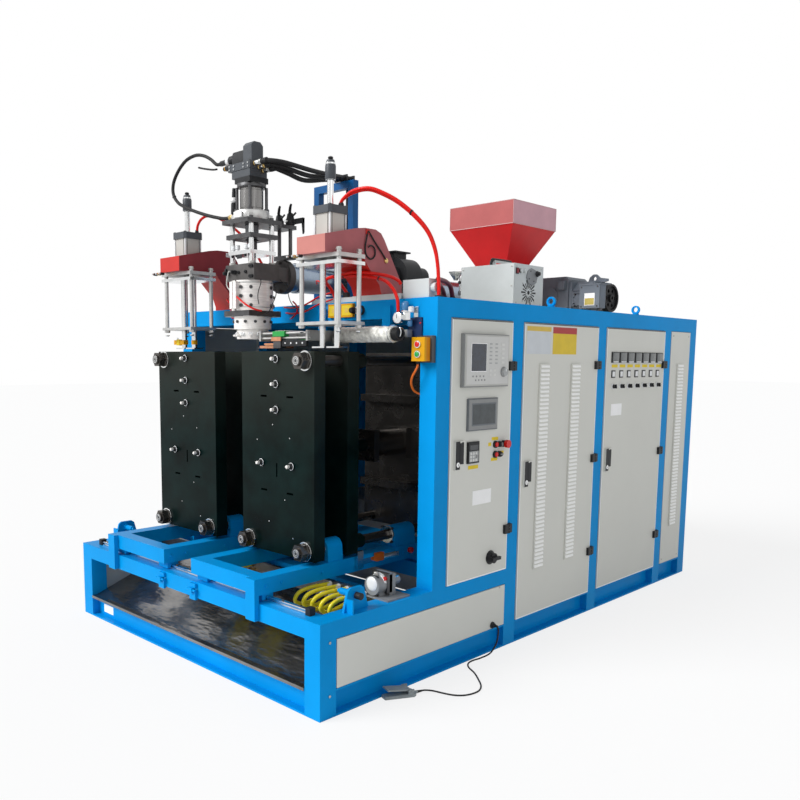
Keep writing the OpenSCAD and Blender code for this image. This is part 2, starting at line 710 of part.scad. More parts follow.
blow_base = arm_seat_z + 14;
blow_top = 2193;
module blow_cylinder() {
  difference() {
    union() {
      box([-blow_cap / 2, blow_cap / 2], [part_y - blow_cap / 2, part_y + blow_cap / 2],
        [blow_base, blow_base + 24]);
      rod_z(0, part_y, blow_base + 24 - eps, blow_top - 29 + eps, blow_cap / 2 - 6, 48);
      for (x = [-1, 1], y = [-1, 1]) rod_z(x * (blow_cap / 2 - 10), part_y + y * (blow_cap / 2 - 10),
        blow_base + 20, blow_top - 20, 6, 24);
      box([-blow_cap / 2, blow_cap / 2], [part_y - blow_cap / 2, part_y + blow_cap / 2],
        [blow_top - 29, blow_top]);
      rod_z(0, part_y, blow_top - eps, blow_top + 12, 26, 32);
    }
    rod_z(0, part_y, blow_base - 1, blow_top + 13, blow_rod_r + bush_gap, 48);
  }
}

module blow_cylinders() {
  color(chrome) on_roof() for (s = [-1, 1]) translate([s * blow_x, 0, 0]) blow_cylinder();
}

guide_top = arm_seat_z;
guide_mid = 1925;
guide_low = 1654;
guide_mid_t = 16;
post_x = guide_w / 2 - 19;
post_y = guide_d / 2 - 20;
module four_posts() {
  for (x = [-1, 1], y = [-1, 1]) translate([x * post_x, part_y + y * post_y, 0]) children();
}

module blow_guide() {
  difference() {
    box([-guide_w / 2, guide_w / 2], [part_y - guide_d / 2, part_y + guide_d / 2],
      [guide_top - 18, guide_top]);
    rod_z(0, part_y, guide_top - 25, guide_top + 1, blow_rod_r + 4, 32);
    four_posts() translate([0, 0, guide_top - 25]) cylinder(r = post_r, h = 26, $fn = 32);
  }
  difference() {
    box([-guide_w / 2, guide_w / 2], [part_y - guide_d / 2, part_y + guide_d / 2],
      [guide_low, guide_low + 15]);
    for (s = [-1, 1]) rod_z(s * pin_pitch / 2, part_y, guide_low - 1, guide_low + 16, 17, 32);
    four_posts() translate([0, 0, guide_low - 1]) cylinder(r = post_r, h = 17, $fn = 32);
  }
  four_posts() translate([0, 0, guide_low - 14]) cylinder(r = post_r,
    h = guide_top + 12 - guide_low + 14, $fn = 32);
  four_posts() translate([0, 0, guide_low - 12]) cylinder(r = post_r + 5, h = 12 + eps, $fn = 6);
}

module blow_guides() {
  color(chrome) on_roof() for (s = [-1, 1]) translate([s * blow_x, 0, 0]) blow_guide();
}

foot_z = 1556;
module blow_pins() {
  rod_z(0, part_y, guide_mid + guide_mid_t - eps, 2400, blow_rod_r, 48);
  rod_z(0, part_y, 2312, 2388, 23, 32);
  rod_z(0, part_y, 2388 - eps, 2417, 9, 24);
  difference() {
    box([-guide_w / 2, guide_w / 2], [part_y - guide_d / 2, part_y + guide_d / 2],
      [guide_mid, guide_mid + guide_mid_t]);
    four_posts() translate([0, 0, guide_mid - 1]) cylinder(r = post_r + bush_gap, h = guide_mid_t + 2,
      $fn = 32);
  }
  for (s = [-1, 1]) {
    rod_z(s * pin_pitch / 2, part_y, foot_z, guide_mid + eps, 15, 32);
    box([s * pin_pitch / 2 - 42, s * pin_pitch / 2 + 42], [part_y - 30, part_y + 30],
      [foot_z - 7, foot_z + eps]);
  }
}

module blow_pins_left() {
  color(chrome) on_roof() translate([-blow_x, 0, 0]) blow_pins();
}

module blow_pins_right() {
  color(chrome) on_roof() translate([blow_x, 0, 0]) blow_pins();
}

cut_y = 430;
cut_z = 1598;
cut_x0 = 118;
cut_x1 = 470;
cut_rod_r = 6;
cut_rod_pitch = 24;
beam_y = [666, 700];
module cutter_guide() {
  color(steel) on_roof() {
    for (x = [cut_x0, cut_x1]) box([x, x + 12], [cut_y - 14, beam_y[0] + eps],
      [cut_z - 14, cut_z + cut_rod_pitch + 12]);
    for (z = [0, cut_rod_pitch]) rod_x(cut_y, cut_z + z, cut_x0 - 6, cut_x1 + 18, cut_rod_r, 32);
    box([cut_x0, 890], beam_y, [cut_z + 2, cut_z + 36]);
    for (x = [250, 700]) box([x, x + 50], [beam_y[1] - eps, body_y], [cut_z + 2, roof_h - 30]);
  }
}

module cutter_drive() {
  color(steel) on_roof() {
    rod_x(600, 1614, 520, 850, 38);
    rod_x(600, 1614, 850 - eps, 885, 30);
    rod_x(600, 1614, 500, 520 + eps, 24);
    for (x = [560, 790]) box([x, x + 20], [634, beam_y[0]], [1600, 1634]);
  }
}

module cutter_head() {
  color("#b5713a") on_roof() {
    difference() {
      box([230, 290], [cut_y - 18, cut_y + 18], [cut_z - 50, cut_z + cut_rod_pitch + 18]);
      for (z = [0, cut_rod_pitch]) rod_x(cut_y, cut_z + z, 229, 291, cut_rod_r + bush_gap, 32);
    }
    box([215, 290], [cut_y + 18 - eps, part_y + 30], [cut_z - 50, cut_z - 34]);
    for (y = [part_y - 15, part_y + 18]) box([76, 216], [y, y + 12], [cut_z - 50, cut_z - 42]);
    rod_y(86, cut_z - 46, part_y - 6, part_y + 21, 1.5, 12);
  }
}

module air_preparation() {
  color("#d9b93a") on_roof() {
    box([325, 500], [body_y - 18, body_y], [1705, 1772]);
    box([780, 920], [body_y - 10, body_y], [1700, 1760]);
    box([785, 830], [body_y - 52, body_y - 10 + eps], [1712, 1750]);
    rod_y(806, 1731, body_y - 66, body_y - 52 + eps, 25, 32);
    box([830 - eps, 895], [body_y - 52, body_y - 10 + eps], [1722, 1750]);
    rod_z(862, body_y - 31, 1650, 1722 + eps, 18, 32);
    rod_z(862, body_y - 31, 1750 - eps, 1772, 15, 32);
  }
}

box_x = inner + 2;
box_z = body_h - 290;
module button_box() {
  color("#f0b015") centred() {
    box([box_x, box_x + 77], [650, 690], [box_z, box_z + 108]);
    box([box_x + 4, box_x + 73], [690 - eps, body_y], [box_z + 4, box_z + 104]);
    for (z = [32, 76]) rod_y(box_x + 38, box_z + z, 640, 650 + eps, 14, 32);
    rod_z(box_x + 20, 672, box_z - 14, box_z + eps, 8, 24);
  }
}

supply_x = [313, 687];
supply_y = [1810, 2116];
supply_z = [roof_h + panel_t + 20, 2047];
module supply_box() {
  color("#d5d6d4") on_roof() {
    box(supply_x, supply_y, supply_z);
    for (x = [supply_x[0] + 30, supply_x[1] - 60], y = [supply_y[0] + 30, supply_y[1] - 60])
      box([x, x + 30], [y, y + 30], [roof_h + panel_t, supply_z[0] + eps]);
    for (y = [supply_y[0] + 60, supply_y[1] - 80]) box([490, 510], [y, y + 16],
      [supply_z[1] - eps, supply_z[1] + 34]);
    box([490, 510], [supply_y[0] + 60, supply_y[1] - 64], [supply_z[1] + 22, supply_z[1] + 34]);
    for (y = [supply_y[0] + 60, supply_y[0] + 100]) rod_x(y, supply_z[1] - 40, supply_x[1] - eps,
      supply_x[1] + 16, 11, 24);
  }
}

valve_x = hw - 222;
module valve_box() {
  color("#d5d6d4") on_roof() {
    box([valve_x, valve_x + 157], [730, 790], [roof_h, roof_h + 86]);
    rod_x(760, roof_h + 46, valve_x + 157 - eps, valve_x + 182, 22, 32);
    box([160, 480], [735, 765], [roof_h, roof_h + 26]);
    box([690, valve_x - seat], [735, 765], [roof_h, roof_h + 26]);
  }
}

module lifting_eyes() {
  color(blue) centred() both_sides() for (y = [middle_door_y + 330, rear_door_y + 450])
    translate([hw - 48, y, body_h]) {
    cylinder(r = 20, h = 10, $fn = 32);
    difference() {
      translate([0, 7, 32]) rotate([90, 0, 0]) cylinder(r = 26, h = 14, $fn = 48);
      translate([0, 8, 34]) rotate([90, 0, 0]) cylinder(r = 15, h = 16, $fn = 48);
    }
  }
}

// Hinges: the door's knuckle is the middle one, the frame's leaf carries the pin and the outer ones
hinge_h = 48;
knuckle_r = 8;
hinge_x = hw + door_proud + knuckle_r + 0.5;
front_hinges = [635, 1468];
middle_hinges = [376, 932, 1471];
rear_hinges = [349, 911, 1473];

module frame_leaf(y, z) {
  translate([0, y, z]) {
    box([hw, hw + 4], [2, 30], [-hinge_h / 2, hinge_h / 2]);
    for (s = [-1, 1]) {
      z0 = s > 0 ? 8.5 : -hinge_h / 2;
      translate([hinge_x, -door_gap / 2, z0]) cylinder(r = knuckle_r, h = hinge_h / 2 - 8.5, $fn = 32);
      box([hw + 4 - eps, hinge_x], [2, 6], [z0, z0 + hinge_h / 2 - 8.5]);
    }
    translate([hinge_x, -door_gap / 2, -hinge_h / 2]) cylinder(r = hinge_pin_r, h = hinge_h, $fn = 32);
  }
}

module door_leaf(y, z) {
  translate([0, y, z]) difference() {
    union() {
      translate([hinge_x, -door_gap / 2, -8]) cylinder(r = knuckle_r, h = 16, $fn = 32);
      box([hw + door_proud - eps, hinge_x], [-30, -3], [-8, 8]);
      box([hw + door_proud - eps, hw + door_proud + 3], [-34, -knuckle_r - 3],
        [-hinge_h / 2, hinge_h / 2]);
    }
    translate([hinge_x, -door_gap / 2, -9]) cylinder(r = hinge_pin_r + bush_gap, h = 18, $fn = 32);
  }
}

module door_hinges() {
  color(black) centred() {
    for (z = front_hinges) frame_leaf(post2, z);
    for (z = middle_hinges) frame_leaf(post3, z);
    for (z = rear_hinges) frame_leaf(post4, z);
  }
}

door_face = hw + door_proud;
lock_h = 136;
lock_w = 46;
latch_pin_r = 2;
module door(y0, y1, z0, columns, hinges, lock_y, lock_z) {
  side_sheet(y0 + door_gap, y1 - door_gap, z0 + door_gap, rail_low - door_gap, door_face, columns);
  turned_edges(y0 + door_gap, y1 - door_gap, z0 + door_gap, rail_low - door_gap, door_face, door_depth);
  for (z = hinges) door_leaf(y1, z);
  difference() {
    box([door_face - eps, door_face + 10], [lock_y, lock_y + lock_w], [lock_z, lock_z + lock_h]);
    box([door_face + 2, door_face + 11], [lock_y + 5, lock_y + lock_w - 5],
      [lock_z + 24, lock_z + lock_h - 6]);
    rod_y(door_face + 7.5, lock_z + lock_h - 12.5, lock_y - 1, lock_y + lock_w + 1,
      latch_pin_r + bush_gap, 32);
  }
}

front_lock = [front_door_y + 56, 980];
middle_lock = [middle_door_y + 50, 836];
rear_lock = [rear_door_y + 52, 840];
module door_front() {
  color(grey) centred() door(front_door_y, post2, base_h, [], front_hinges, front_lock[0], front_lock[1]);
}

module door_middle() {
  color(grey) centred() door(middle_door_y, post3, channel_h, [middle_door_y + 196, middle_door_y + 528],
    middle_hinges, middle_lock[0], middle_lock[1]);
}

module door_rear() {
  color(grey) centred() door(rear_door_y, post4, channel_h, [], rear_hinges, rear_lock[0], rear_lock[1]);
}

module lock_handle(lock) {
  y0 = lock[0] + 7;
  z0 = lock[1] + 26;
  z1 = lock[1] + lock_h - 8;
  box([door_face + 3, door_face + 12], [y0, lock[0] + lock_w - 7], [z0, z1 - 4.5]);
  rod_y(door_face + 7.5, z1 - 4.5, y0, lock[0] + lock_w - 7, 4.5, 32);
  rod_y(door_face + 7.5, z1 - 4.5, lock[0] + 0.5, lock[0] + lock_w - 0.5, latch_pin_r, 32);
}

module handle_front() {
  color(black) centred() lock_handle(front_lock);
}

module handle_middle() {
  color(black) centred() lock_handle(middle_lock);
}

module handle_rear() {
  color(black) centred() lock_handle(rear_lock);
}

module operator_panel() {
  color("#b9b8b2") centred() {
    box([door_face, door_face + 46], [905, 1269], [1377, 1616]);
    box([door_face + 46 - eps, door_face + 50], [923, 1262], [1385, 1608]);
    rod_x(1225, 1440, door_face + 50 - eps, door_face + 66, 22);
    box([door_face, door_face + 12], [955, 1200], [1156, 1312]);
    box([door_face, door_face + 16], [956, 1056], [991, 1106]);
    for (z = [1030, 1080]) {
      rod_x(1180, z, door_face, door_face + 12, 17, 32);
      rod_x(1212, z, door_face, door_face + 20, 14, 32);
    }
    difference() {
      rod_x(1247, 1080, door_face, door_face + 14, 16, 32);
      rod_x(1247, 1080, door_face + 4, door_face + 15, 9 + bush_gap, 32);
    }
    rod_x(1165, 506, door_face, door_face + 14, 35);
  }
}

module stop_button() {
  color(red) centred() {
    rod_x(1247, 1080, door_face + 21, door_face + 38, 20, 32);
    rod_x(1247, 1080, door_face + 11, door_face + 21 + eps, 9, 32);
  }
}

module isolator_knob() {
  color(black) centred() {
    rod_x(1165, 506, door_face + 14 + seat, door_face + 28, 26);
    box([door_face + 28 - eps, door_face + 44], [1130, 1200], [498, 514]);
  }
}

module zone_controls() {
  pitch = (rear_door_w - 88) / 7;
  color(black) centred() for (i = [0 : 6]) {
    y = rear_door_y + 60 + pitch * i;
    box([door_face, door_face + 8], [y, y + pitch * 0.92], [1485, 1549]);
    box([door_face, door_face + 12], [y + 8, y + 52], [1396, 1440]);
    rod_x(y + 30, 1345, door_face, door_face + 14, 15, 24);
    box([door_face + 14 - eps, door_face + 26], [y + 26, y + 34], [1331, 1359]);
  }
}

// The platens: tie bar holes, hanging bolts and clamping slots
tie_low = platen_z + tie_edge;
tie_high = platen_z + platen_h - tie_edge;
front_y = part_y - daylight / 2 - platen_t;
middle_y = part_y + daylight / 2;
tail_y = 1220;
tail_t = 70;

// Places of the three tie bars: s is the side of the upper one
function tie_places(s) = [[-tie_x, tie_low], [tie_x, tie_low], [s * tie_x, tie_high]];
bolt_places = [[0, platen_h - 36], [0, platen_h - 156], [0, platen_h - 279], [-113, platen_h / 2 - 51.5],
  [113, platen_h / 2 - 51.5]];
slot_places = [[-98, platen_h - 216], [98, platen_h - 216], [-98, platen_h / 2 - 186.5],
  [98, platen_h / 2 - 186.5]];

module front_platen(s) {
  difference() {
    box([-platen_w / 2, platen_w / 2], [front_y, front_y + platen_t], [platen_z, platen_z + platen_h]);
    for (p = tie_places(s)) rod_y(p[0], p[1], front_y - 1, front_y + platen_t + 1, tie_r, 48);
    for (p = slot_places) translate([p[0] - 24, front_y - 1, platen_z + p[1] - 5])
      cube([48, platen_t + 2, 10]);
    translate([-5, front_y - 1, platen_z + platen_h - 607]) cube([10, platen_t + 2, 68]);
  }
  for (p = bolt_places) {
    rod_y(p[0], platen_z + p[1], front_y - 6, front_y + eps, 17, 24);
    rod_y(p[0], platen_z + p[1], front_y - 36, front_y - 6 + eps, 8, 24);
    rod_y(p[0], platen_z + p[1], front_y - 20, front_y - 6 + eps, 13, 6);
  }
}

module front_platen_left() {
  color(black) centred() translate([left_x, 0, 0]) front_platen(-1);
}

module front_platen_right() {
  color(black) centred() translate([right_x, 0, 0]) front_platen(1);
}

module tie_nut(p, y0, y1) {
  difference() {
    union() {
      rod_y(p[0], p[1], y0, y1, nut_af / sqrt(3), 6);
      children();
    }
    rod_y(p[0], p[1], y0 - 10, y1 + 10, tie_r + seat, 48);
  }
}

module tie_bars(s) {
  for (p = tie_places(s)) {
    rod_y(p[0], p[1], front_y - 62, tail_y + tail_t + 50, tie_r, 48);
    tie_nut(p, front_y - 52, front_y - 8 + eps) rod_y(p[0], p[1], front_y - 8, front_y, 46, 48);
    tie_nut(p, tail_y + tail_t + seat, tail_y + tail_t + 40);
  }
  difference() {
    union() {
      box([-platen_w / 2, platen_w / 2], [tail_y, tail_y + tail_t], [platen_z + 10, platen_z + platen_h]);
      rod_y(0, clamp_z, clamp_y, tail_y + eps, clamp_r, 64);
      for (y = [clamp_y, tail_y - 40])
        box([-clamp_r - 8, clamp_r + 8], [y, y + 40], [clamp_z - clamp_r - 8, clamp_z + clamp_r + 8]);
      for (z = [clamp_z - 260, clamp_z + 220])
        box([-platen_w / 2 + 20, platen_w / 2 - 20], [tail_y - 60, tail_y + eps], [z, z + 40]);
    }
    rod_y(0, clamp_z, clamp_y - 1, tail_y + tail_t - 5, clamp_rod_r + bush_gap, 64);
    for (p = tie_places(s)) rod_y(p[0], p[1], tail_y - 61, tail_y + tail_t + 1, tie_r + seat, 48);
  }
}

clamp_z = platen_z + platen_h / 2;
clamp_y = 925;
clamp_rod_end = 1010;
module tie_bars_left() {
  color(steel) centred() translate([left_x, 0, 0]) tie_bars(-1);
}

module tie_bars_right() {
  color(steel) centred() translate([right_x, 0, 0]) tie_bars(1);
}

module middle_platen(s) {
  difference() {
    union() {
      box([-platen_w / 2, platen_w / 2], [middle_y, middle_y + middle_t],
        [platen_z, platen_z + platen_h]);
      for (p = tie_places(s)) {
        rod_y(p[0], p[1], middle_y + middle_t - eps, middle_y + middle_t + 12, 43, 48);
        rod_y(p[0], p[1], middle_y + middle_t, middle_y + middle_t + 75, 36, 48);
      }
      for (z = [clamp_z - 300, clamp_z + 250]) box([-200, 200],
        [middle_y + middle_t - eps, middle_y + middle_t + 60], [z, z + 30]);
    }
    for (p = tie_places(s)) rod_y(p[0], p[1], middle_y - 1, middle_y + middle_t + 76, tie_r + bush_gap,
      48);
  }
  rod_y(0, clamp_z, middle_y + middle_t - eps, clamp_rod_end, clamp_rod_r, 64);
  rod_y(0, clamp_z, middle_y + middle_t - eps, middle_y + middle_t + 30, clamp_rod_r + 25, 48);
}

module middle_platen_left() {
  color(black) centred() translate([left_x, 0, 0]) middle_platen(-1);
}

module middle_platen_right() {
  color(black) centred() translate([right_x, 0, 0]) middle_platen(1);
}

carriage_z = base_h + rail_h + 13;
block_y = [425, 523];
rear_block_y = [900, 1060];
module carriage(s) {
  cw = carriage_w / 2;
  difference() {
    box([-cw, cw], [0, carriage_l], [carriage_z, carriage_z + carriage_h]);
    box([-cw + carriage_beam, cw - carriage_beam], [carriage_beam, 900],
      [carriage_z - 1, carriage_z + carriage_h + 1]);
  }
  for (x = [-tie_x, tie_x], b = [block_y, rear_block_y]) difference() {
    hull() {
      box([x - 50, x + 50], b, [carriage_z + carriage_h - eps, carriage_z + carriage_h + 10]);
      rod_y(x, tie_low, b[0], b[1], 46, 32);
    }
    rod_y(x, tie_low, b[0] - 1, b[1] + 1, tie_r + bush_gap, 48);
  }
  for (x = [-cw + 55, cw - 55], y = [front_rail_y, rear_rail_y]) difference() {
    box([x - 42, x + 42], [y - 32, y + 32], [base_h + 6, carriage_z + eps]);
    box([x - 43, x + 43], [y - rail_w / 2 - rail_gap, y + rail_w / 2 + rail_gap],
      [base_h, base_h + rail_h + rail_gap]);
  }
  box([s * (cw - 33) - 33, s * (cw - 33) + 33], [-25, -seat], [base_h - 77, carriage_z + carriage_h]);
  box([s * (cw - 33) - 33, s * (cw - 33) + 33], [-seat - eps, eps],
    [carriage_z + 2, carriage_z + carriage_h - 2]);
}

module carriage_left() {
  color(blue) centred() translate([left_x, 0, 0]) carriage(-1);
}

module carriage_right() {
  color(blue) centred() translate([right_x, 0, 0]) carriage(1);
}

module programming_rod() {
  color(chrome) on_roof() {
    rod_z(0, part_y, 1600, cyl_z + 90, 20, 48);
    difference() {
      box([-92, 92], [part_y - 82, part_y + 82], [2021, 2040]);
      for (x = [-1, 1], y = [-1, 1]) rod_z(x * tie_in_a, part_y + y * 66, 2020, 2041, 11.3, 32);
    }
  }
}

// A pipe swept along points: each ring lies in the plane between its two neighbours
function unit(v) = v / norm(v);
function tangent(p, i) = unit(p[min(i + 1, len(p) - 1)] - p[max(i - 1, 0)]);
function side_of(t) = abs(t[2]) > 0.94 ? unit(cross(t, [1, 0, 0])) : unit(cross(t, [0, 0, 1]));
function ring(p, i, r, n) = let (t = tangent(p, i), u = side_of(t), w = cross(u, t))
  [for (k = [0 : n - 1]) p[i] + r * (cos(360 * k / n) * u + sin(360 * k / n) * w)];

module pipe(p, r, n = 8) {
  m = len(p);
  points = [for (i = [0 : m - 1]) each ring(p, i, r, n)];
  sides = [for (i = [0 : m - 2], k = [0 : n - 1]) [i * n + k, i * n + (k + 1) % n, (i + 1)
    * n + (k + 1) % n, (i + 1) * n + k]];
  ends = [[for (k = [n - 1 : -1 : 0]) k], [for (k = [0 : n - 1]) (m - 1) * n + k]];
  polyhedron(points, concat(sides, ends), convexity = 8);
}

// A smooth line through a few route points, with steps points on each stretch
function blend_point(a, b, c, d, t) = 0.5 * (2 * b + (c - a) * t + (2 * a - 5 * b + 4 * c - d) * t * t
  + (3 * b - a - 3 * c + d) * t * t * t);
function smooth(p, steps) = [for (i = [0 : len(p) - 2], k = [0 : steps - 1])
  blend_point(p[max(i - 1, 0)], p[i], p[i + 1], p[min(i + 2, len(p) - 1)], k / steps), p[len(p) - 1]];

// A hose fitting that stands up from z
module fitting(x, y, z, r = 10, h = 22) {
  rod_z(x, y, z, z + h, r, 6);
}

valve_end = valve_z + 142;
left_loop = [[-272, 467, valve_end], [-310, 467, valve_end], [-350, 467, 2530], [-407, 467, 2552],
  [-527, 467, 2572],
  [-600, 450, 2564], [-670, 435, 2538], [-691, 424, 2488], [-656, 424, 2428], [-587, 424, 2378],
    [-490, 424, 2338],
  [-383, 424, 2300], [-260, 426, 2250], [-180, 427, 2226], [-150, 427, 2222], [-118, 427, 2222]];
right_arch = [[624, 500, 2200], [640, 500, 2225], [685, 510, 2256], [762, 530, 2262], [820, 560, 2240],
  [884, 600, 2198],
  [948, 640, 2135], [hw - 35, 680, 2068], [hw - 20, 712, 1995], [hw - 23, 745, 1920],
    [hw - 25, 760, 1870],
  [hw - 25, 760, 1845]];
left_arch = [[-540, 500, 2200], [-530, 500, 2235], [-500, 505, 2268], [-470, 530, 2282],
  [-430, 600, 2262],
  [-380, 700, 2180], [-340, 800, 2040], [-330, 860, 1900], [-330, 870, 1810], [-330, 870, 1795]];
lower_arch = [[400, 760, 1815], [402, 735, 1850], [415, 690, 1878], [450, 645, 1890], [500, 628, 1893],
  [580, 622, 1893],
  [660, 630, 1885], [760, 655, 1868], [815, 668, 1825], [834, 680, 1785], [834, 685, 1765]];
clamp_loop = [[0, 442, -78], [0, 400, -88], [0, 330, -102], [10, 260, -94], [20, 225, -66],
  [30, 240, -32],
  [34, 300, -20], [36, 380, -22], [36, 442, -26]];
module hoses() {
  on_roof() {
    color(red) for (d = [0, 17]) {
      pipe(smooth([for (p = right_arch) p + [d / 2 - 8, 0, d]], 2), 7);
      fitting(616 + d / 2, 500, 2193);
    }
    color(red) {
      pipe(smooth(left_arch, 2), 7);
      fitting(-540, 500, 2193);
      fitting(-330, 870, roof_h + panel_t);
      pipe(smooth(lower_arch, 2), 8);
      box([385, 415], [745, 765], [roof_h + 26, roof_h + 50]);
      rod_z(834, body_y - 31, 1750.3, 1775, 9, 6);
      box([hw - 40, hw - 1], [745, 775], [roof_h, roof_h + 90]);
    }
    color(black) {
      pipe(smooth(left_loop, 2), 9);
      rod_x(part_y, valve_end, -280, -260, 12, 6);
      rod_x(part_y - 40, cyl_z + 28, -124, -100, 10, 6);
      for (i = [0 : 2]) {
        y = part_y - 28 + 28 * i;
        z = valve_z + 90 - 14 * i;
        pipe(smooth([[90.3, y, z], [120, y, z], [150, y, z], [205 - 20 * i, y + 70, z - 22],
          [195 - 28 * i, 700, 2425], [150 - 28 * i, 880, 2455],
            [100 - 28 * i, stand_y - 38, stand_top + 15],
          [100 - 28 * i, stand_y + 38, stand_top + 15], [125 - 28 * i, stand_y + 100, 2420],
          [160 - 25 * i, 1160, 2300], [160 - 25 * i, 1160, 2050], [160 - 25 * i, 1160, 1840],
          [160 - 25 * i, 1160, 1800]], 2), 12);
        fitting(160 - 25 * i, 1160, roof_h + panel_t, 12.4, 30);
      }
    }
  }
  // Clamp oil hoses in front of their manifold
  centred() {
    color("#e8d316") for (i = [0 : 3]) pipe(smooth([for (p = clamp_loop)
      p + [inner - 239 + 50 * i, 0, base_h]], 2), 9);
    color(steel) box([inner - 259, inner], [438, 462], [base_h - 93, base_h - 8]);
  }
}

cable_r = 4;
cable_points = [[18.3, 1205, 142], [26, 1205, 142], [34, 1204, 140], [45, 1198, 118], [48, 1180, 65],
  [41, 1140, 20], [27, 1080, 6], [19, 1020, 5], [27, 975, 5], [58, 935, 5], [123, 895, 5], [188, 840, 5],
  [238, 790, 5], [263, 740, 5], [263, 690, 5], [245, 645, 5], [211, 615, 5], [163, 598, 5],
  [121, 582, 7], [97, 556, 10], [87.8, 531.2, 10], [83.6, 519.6, 10]];
cable_route = [for (p = cable_points) p + [panel_face, 0, 0]];
module pedal_cable() {
  color(black) centred() pipe(smooth(cable_route, 3), cable_r);
}

pedal_at = [panel_face + 44, 440];
pedal_turn = -20;
module at_pedal() {
  translate([pedal_at[0], pedal_at[1], 0]) rotate([0, 0, pedal_turn]) children();
}

module pedal_base() {
  color("#8d9496") centred() at_pedal() {
    linear_extrude(14) polygon([[-18, -78], [18, -78], [38, 60], [24, 76], [-24, 76], [-38, 60]]);
    for (s = [-1, 1]) difference() {
      box([s * 34 - 4, s * 34 + 4], [30, 58], [14 - eps, 36]);
      rod_x(44, 27, s * 34 - 5, s * 34 + 5, 3 + bush_gap, 32);
    }
    rod_y(10, 10, 74, 88, 7, 32);
  }
}

module pedal_plate() {
  color("#8d9496") centred() at_pedal() translate([0, 44, 27]) {
    translate([-29.5, 0, 0]) rotate([0, 90, 0]) cylinder(r = 7, h = 59, $fn = 32);
    translate([-40, 0, 0]) rotate([0, 90, 0]) cylinder(r = 3, h = 80, $fn = 32);
    rotate([-7, 0, 0]) box([-27, 27], [-114, 4], [0, 7]);
  }
}

base_frame();
body_frame();
fixed_panels();
product_chute();
electrics_plate();
hydraulic_unit();
shuttle_rails();
travel_stops();
shuttle_drive();
head_block();
head_body();
die_ring();
head_yoke();
programming_cylinder();
servo_valve();
extruder_barrel();
barrel_stand();
cooling_blower();
gearbox();
hopper();
drive_motor();
blow_arms();
blow_cylinders();
blow_guides();
cutter_guide();
cutter_drive();
air_preparation();
button_box();
supply_box();
valve_box();
hoses();
lifting_eyes();
door_hinges();
pedal_cable();
pedal_base();
pedal_plate();
carriage_left();
carriage_right();
front_platen_left();
front_platen_right();
tie_bars_left();
tie_bars_right();
middle_platen_left();
middle_platen_right();
blow_pins_left();
blow_pins_right();
cutter_head();
motor_fan();
programming_rod();
door_front();
door_middle();
door_rear();
operator_panel();
zone_controls();
isolator_knob();
stop_button();
handle_front();
handle_middle();
handle_rear();
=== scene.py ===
# %% [markdown]
# # A double-station blow moulding machine
# The machine melts pellets in a long barrel on its roof, lets a soft tube hang down from the head in front, and
# closes a mould round it. Its frame was drawn in CAD, so every piece made here is placed in the same drawing.

# %% Load the drawing
import bpy
import bmesh
import math
from mathutils import Matrix, Vector


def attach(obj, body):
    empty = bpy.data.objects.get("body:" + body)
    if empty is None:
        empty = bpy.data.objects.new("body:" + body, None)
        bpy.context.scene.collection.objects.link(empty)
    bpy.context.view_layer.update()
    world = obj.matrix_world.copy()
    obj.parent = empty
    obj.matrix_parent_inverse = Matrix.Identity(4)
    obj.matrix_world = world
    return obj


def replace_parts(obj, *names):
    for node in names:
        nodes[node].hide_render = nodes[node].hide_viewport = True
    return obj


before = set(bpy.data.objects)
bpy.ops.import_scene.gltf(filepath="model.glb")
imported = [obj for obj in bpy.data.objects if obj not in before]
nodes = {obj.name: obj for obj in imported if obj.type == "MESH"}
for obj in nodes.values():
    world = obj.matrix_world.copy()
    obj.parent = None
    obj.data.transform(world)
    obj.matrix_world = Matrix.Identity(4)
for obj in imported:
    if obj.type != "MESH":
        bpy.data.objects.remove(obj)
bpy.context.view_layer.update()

print("nodes loaded:", len(nodes))

# %% [markdown]
# ## The camera
# The drawing counts its millimetres from the front of the base, and Blender works in metres from the middle of
# the machine, so one small function turns a drawing place into a scene place. The camera then stands where the
# photographer stood: in front and to the right, with its lens shifted a little to frame the machine.

# %% Places and camera
HALF_LENGTH = 1771                                        # from the base's front to the machine's middle
PICTURE, FOCAL, CENTRE = 800, 810.85, (342.72, 458.1)     # the photograph's width, lens and lens centre in pixels

def at(x, y, z):
    """A place in drawing millimetres as a point of the scene."""
    return Vector((x / 1000, (y - HALF_LENGTH) / 1000, z / 1000))

def added(name, data):
    """A new object in the scene."""
    made = bpy.data.objects.new(name, data)
    bpy.context.collection.objects.link(made)
    return made

lens = bpy.data.cameras.new("workshop_camera")
lens.sensor_width, lens.clip_end = 36, 200
lens.lens = FOCAL * 36 / PICTURE
lens.shift_x, lens.shift_y = (PICTURE / 2 - CENTRE[0]) / PICTURE, (CENTRE[1] - PICTURE / 2) / PICTURE
camera = added("workshop_camera", lens)
camera.matrix_world = (Matrix.Translation((3.3755, -3.9487, 1.4995)) @ Matrix.Rotation(0.796, 4, "Z")
                       @ Matrix.Rotation(math.pi / 2 - 0.122, 4, "X") @ Matrix.Rotation(0.006, 4, "Z"))
bpy.context.scene.camera = camera
print("camera lens in mm:", round(lens.lens, 2))

# %% [markdown]
# ## Finishes
# Paint, ground steel, rubber and moulded plastic differ in colour, but even more in how evenly they shine. Each
# finish here is a small node tree: one soft noise mottles the colour, a finer one gives the surface its grain,
# and both read the object's own coordinates, so that they stay put when a part moves. A small helper joins nodes,
# so that a tree reads from top to bottom like a list of steps.

# %% Nodes, and a finish with its noises
def fill(tree, made, links):
    """Gives each input of a node a value or another node's output."""
    for socket, source in links.items():
        if isinstance(source, bpy.types.NodeSocket):
            tree.links.new(source, made.inputs[socket])
        else:
            made.inputs[socket].default_value = source
    return made

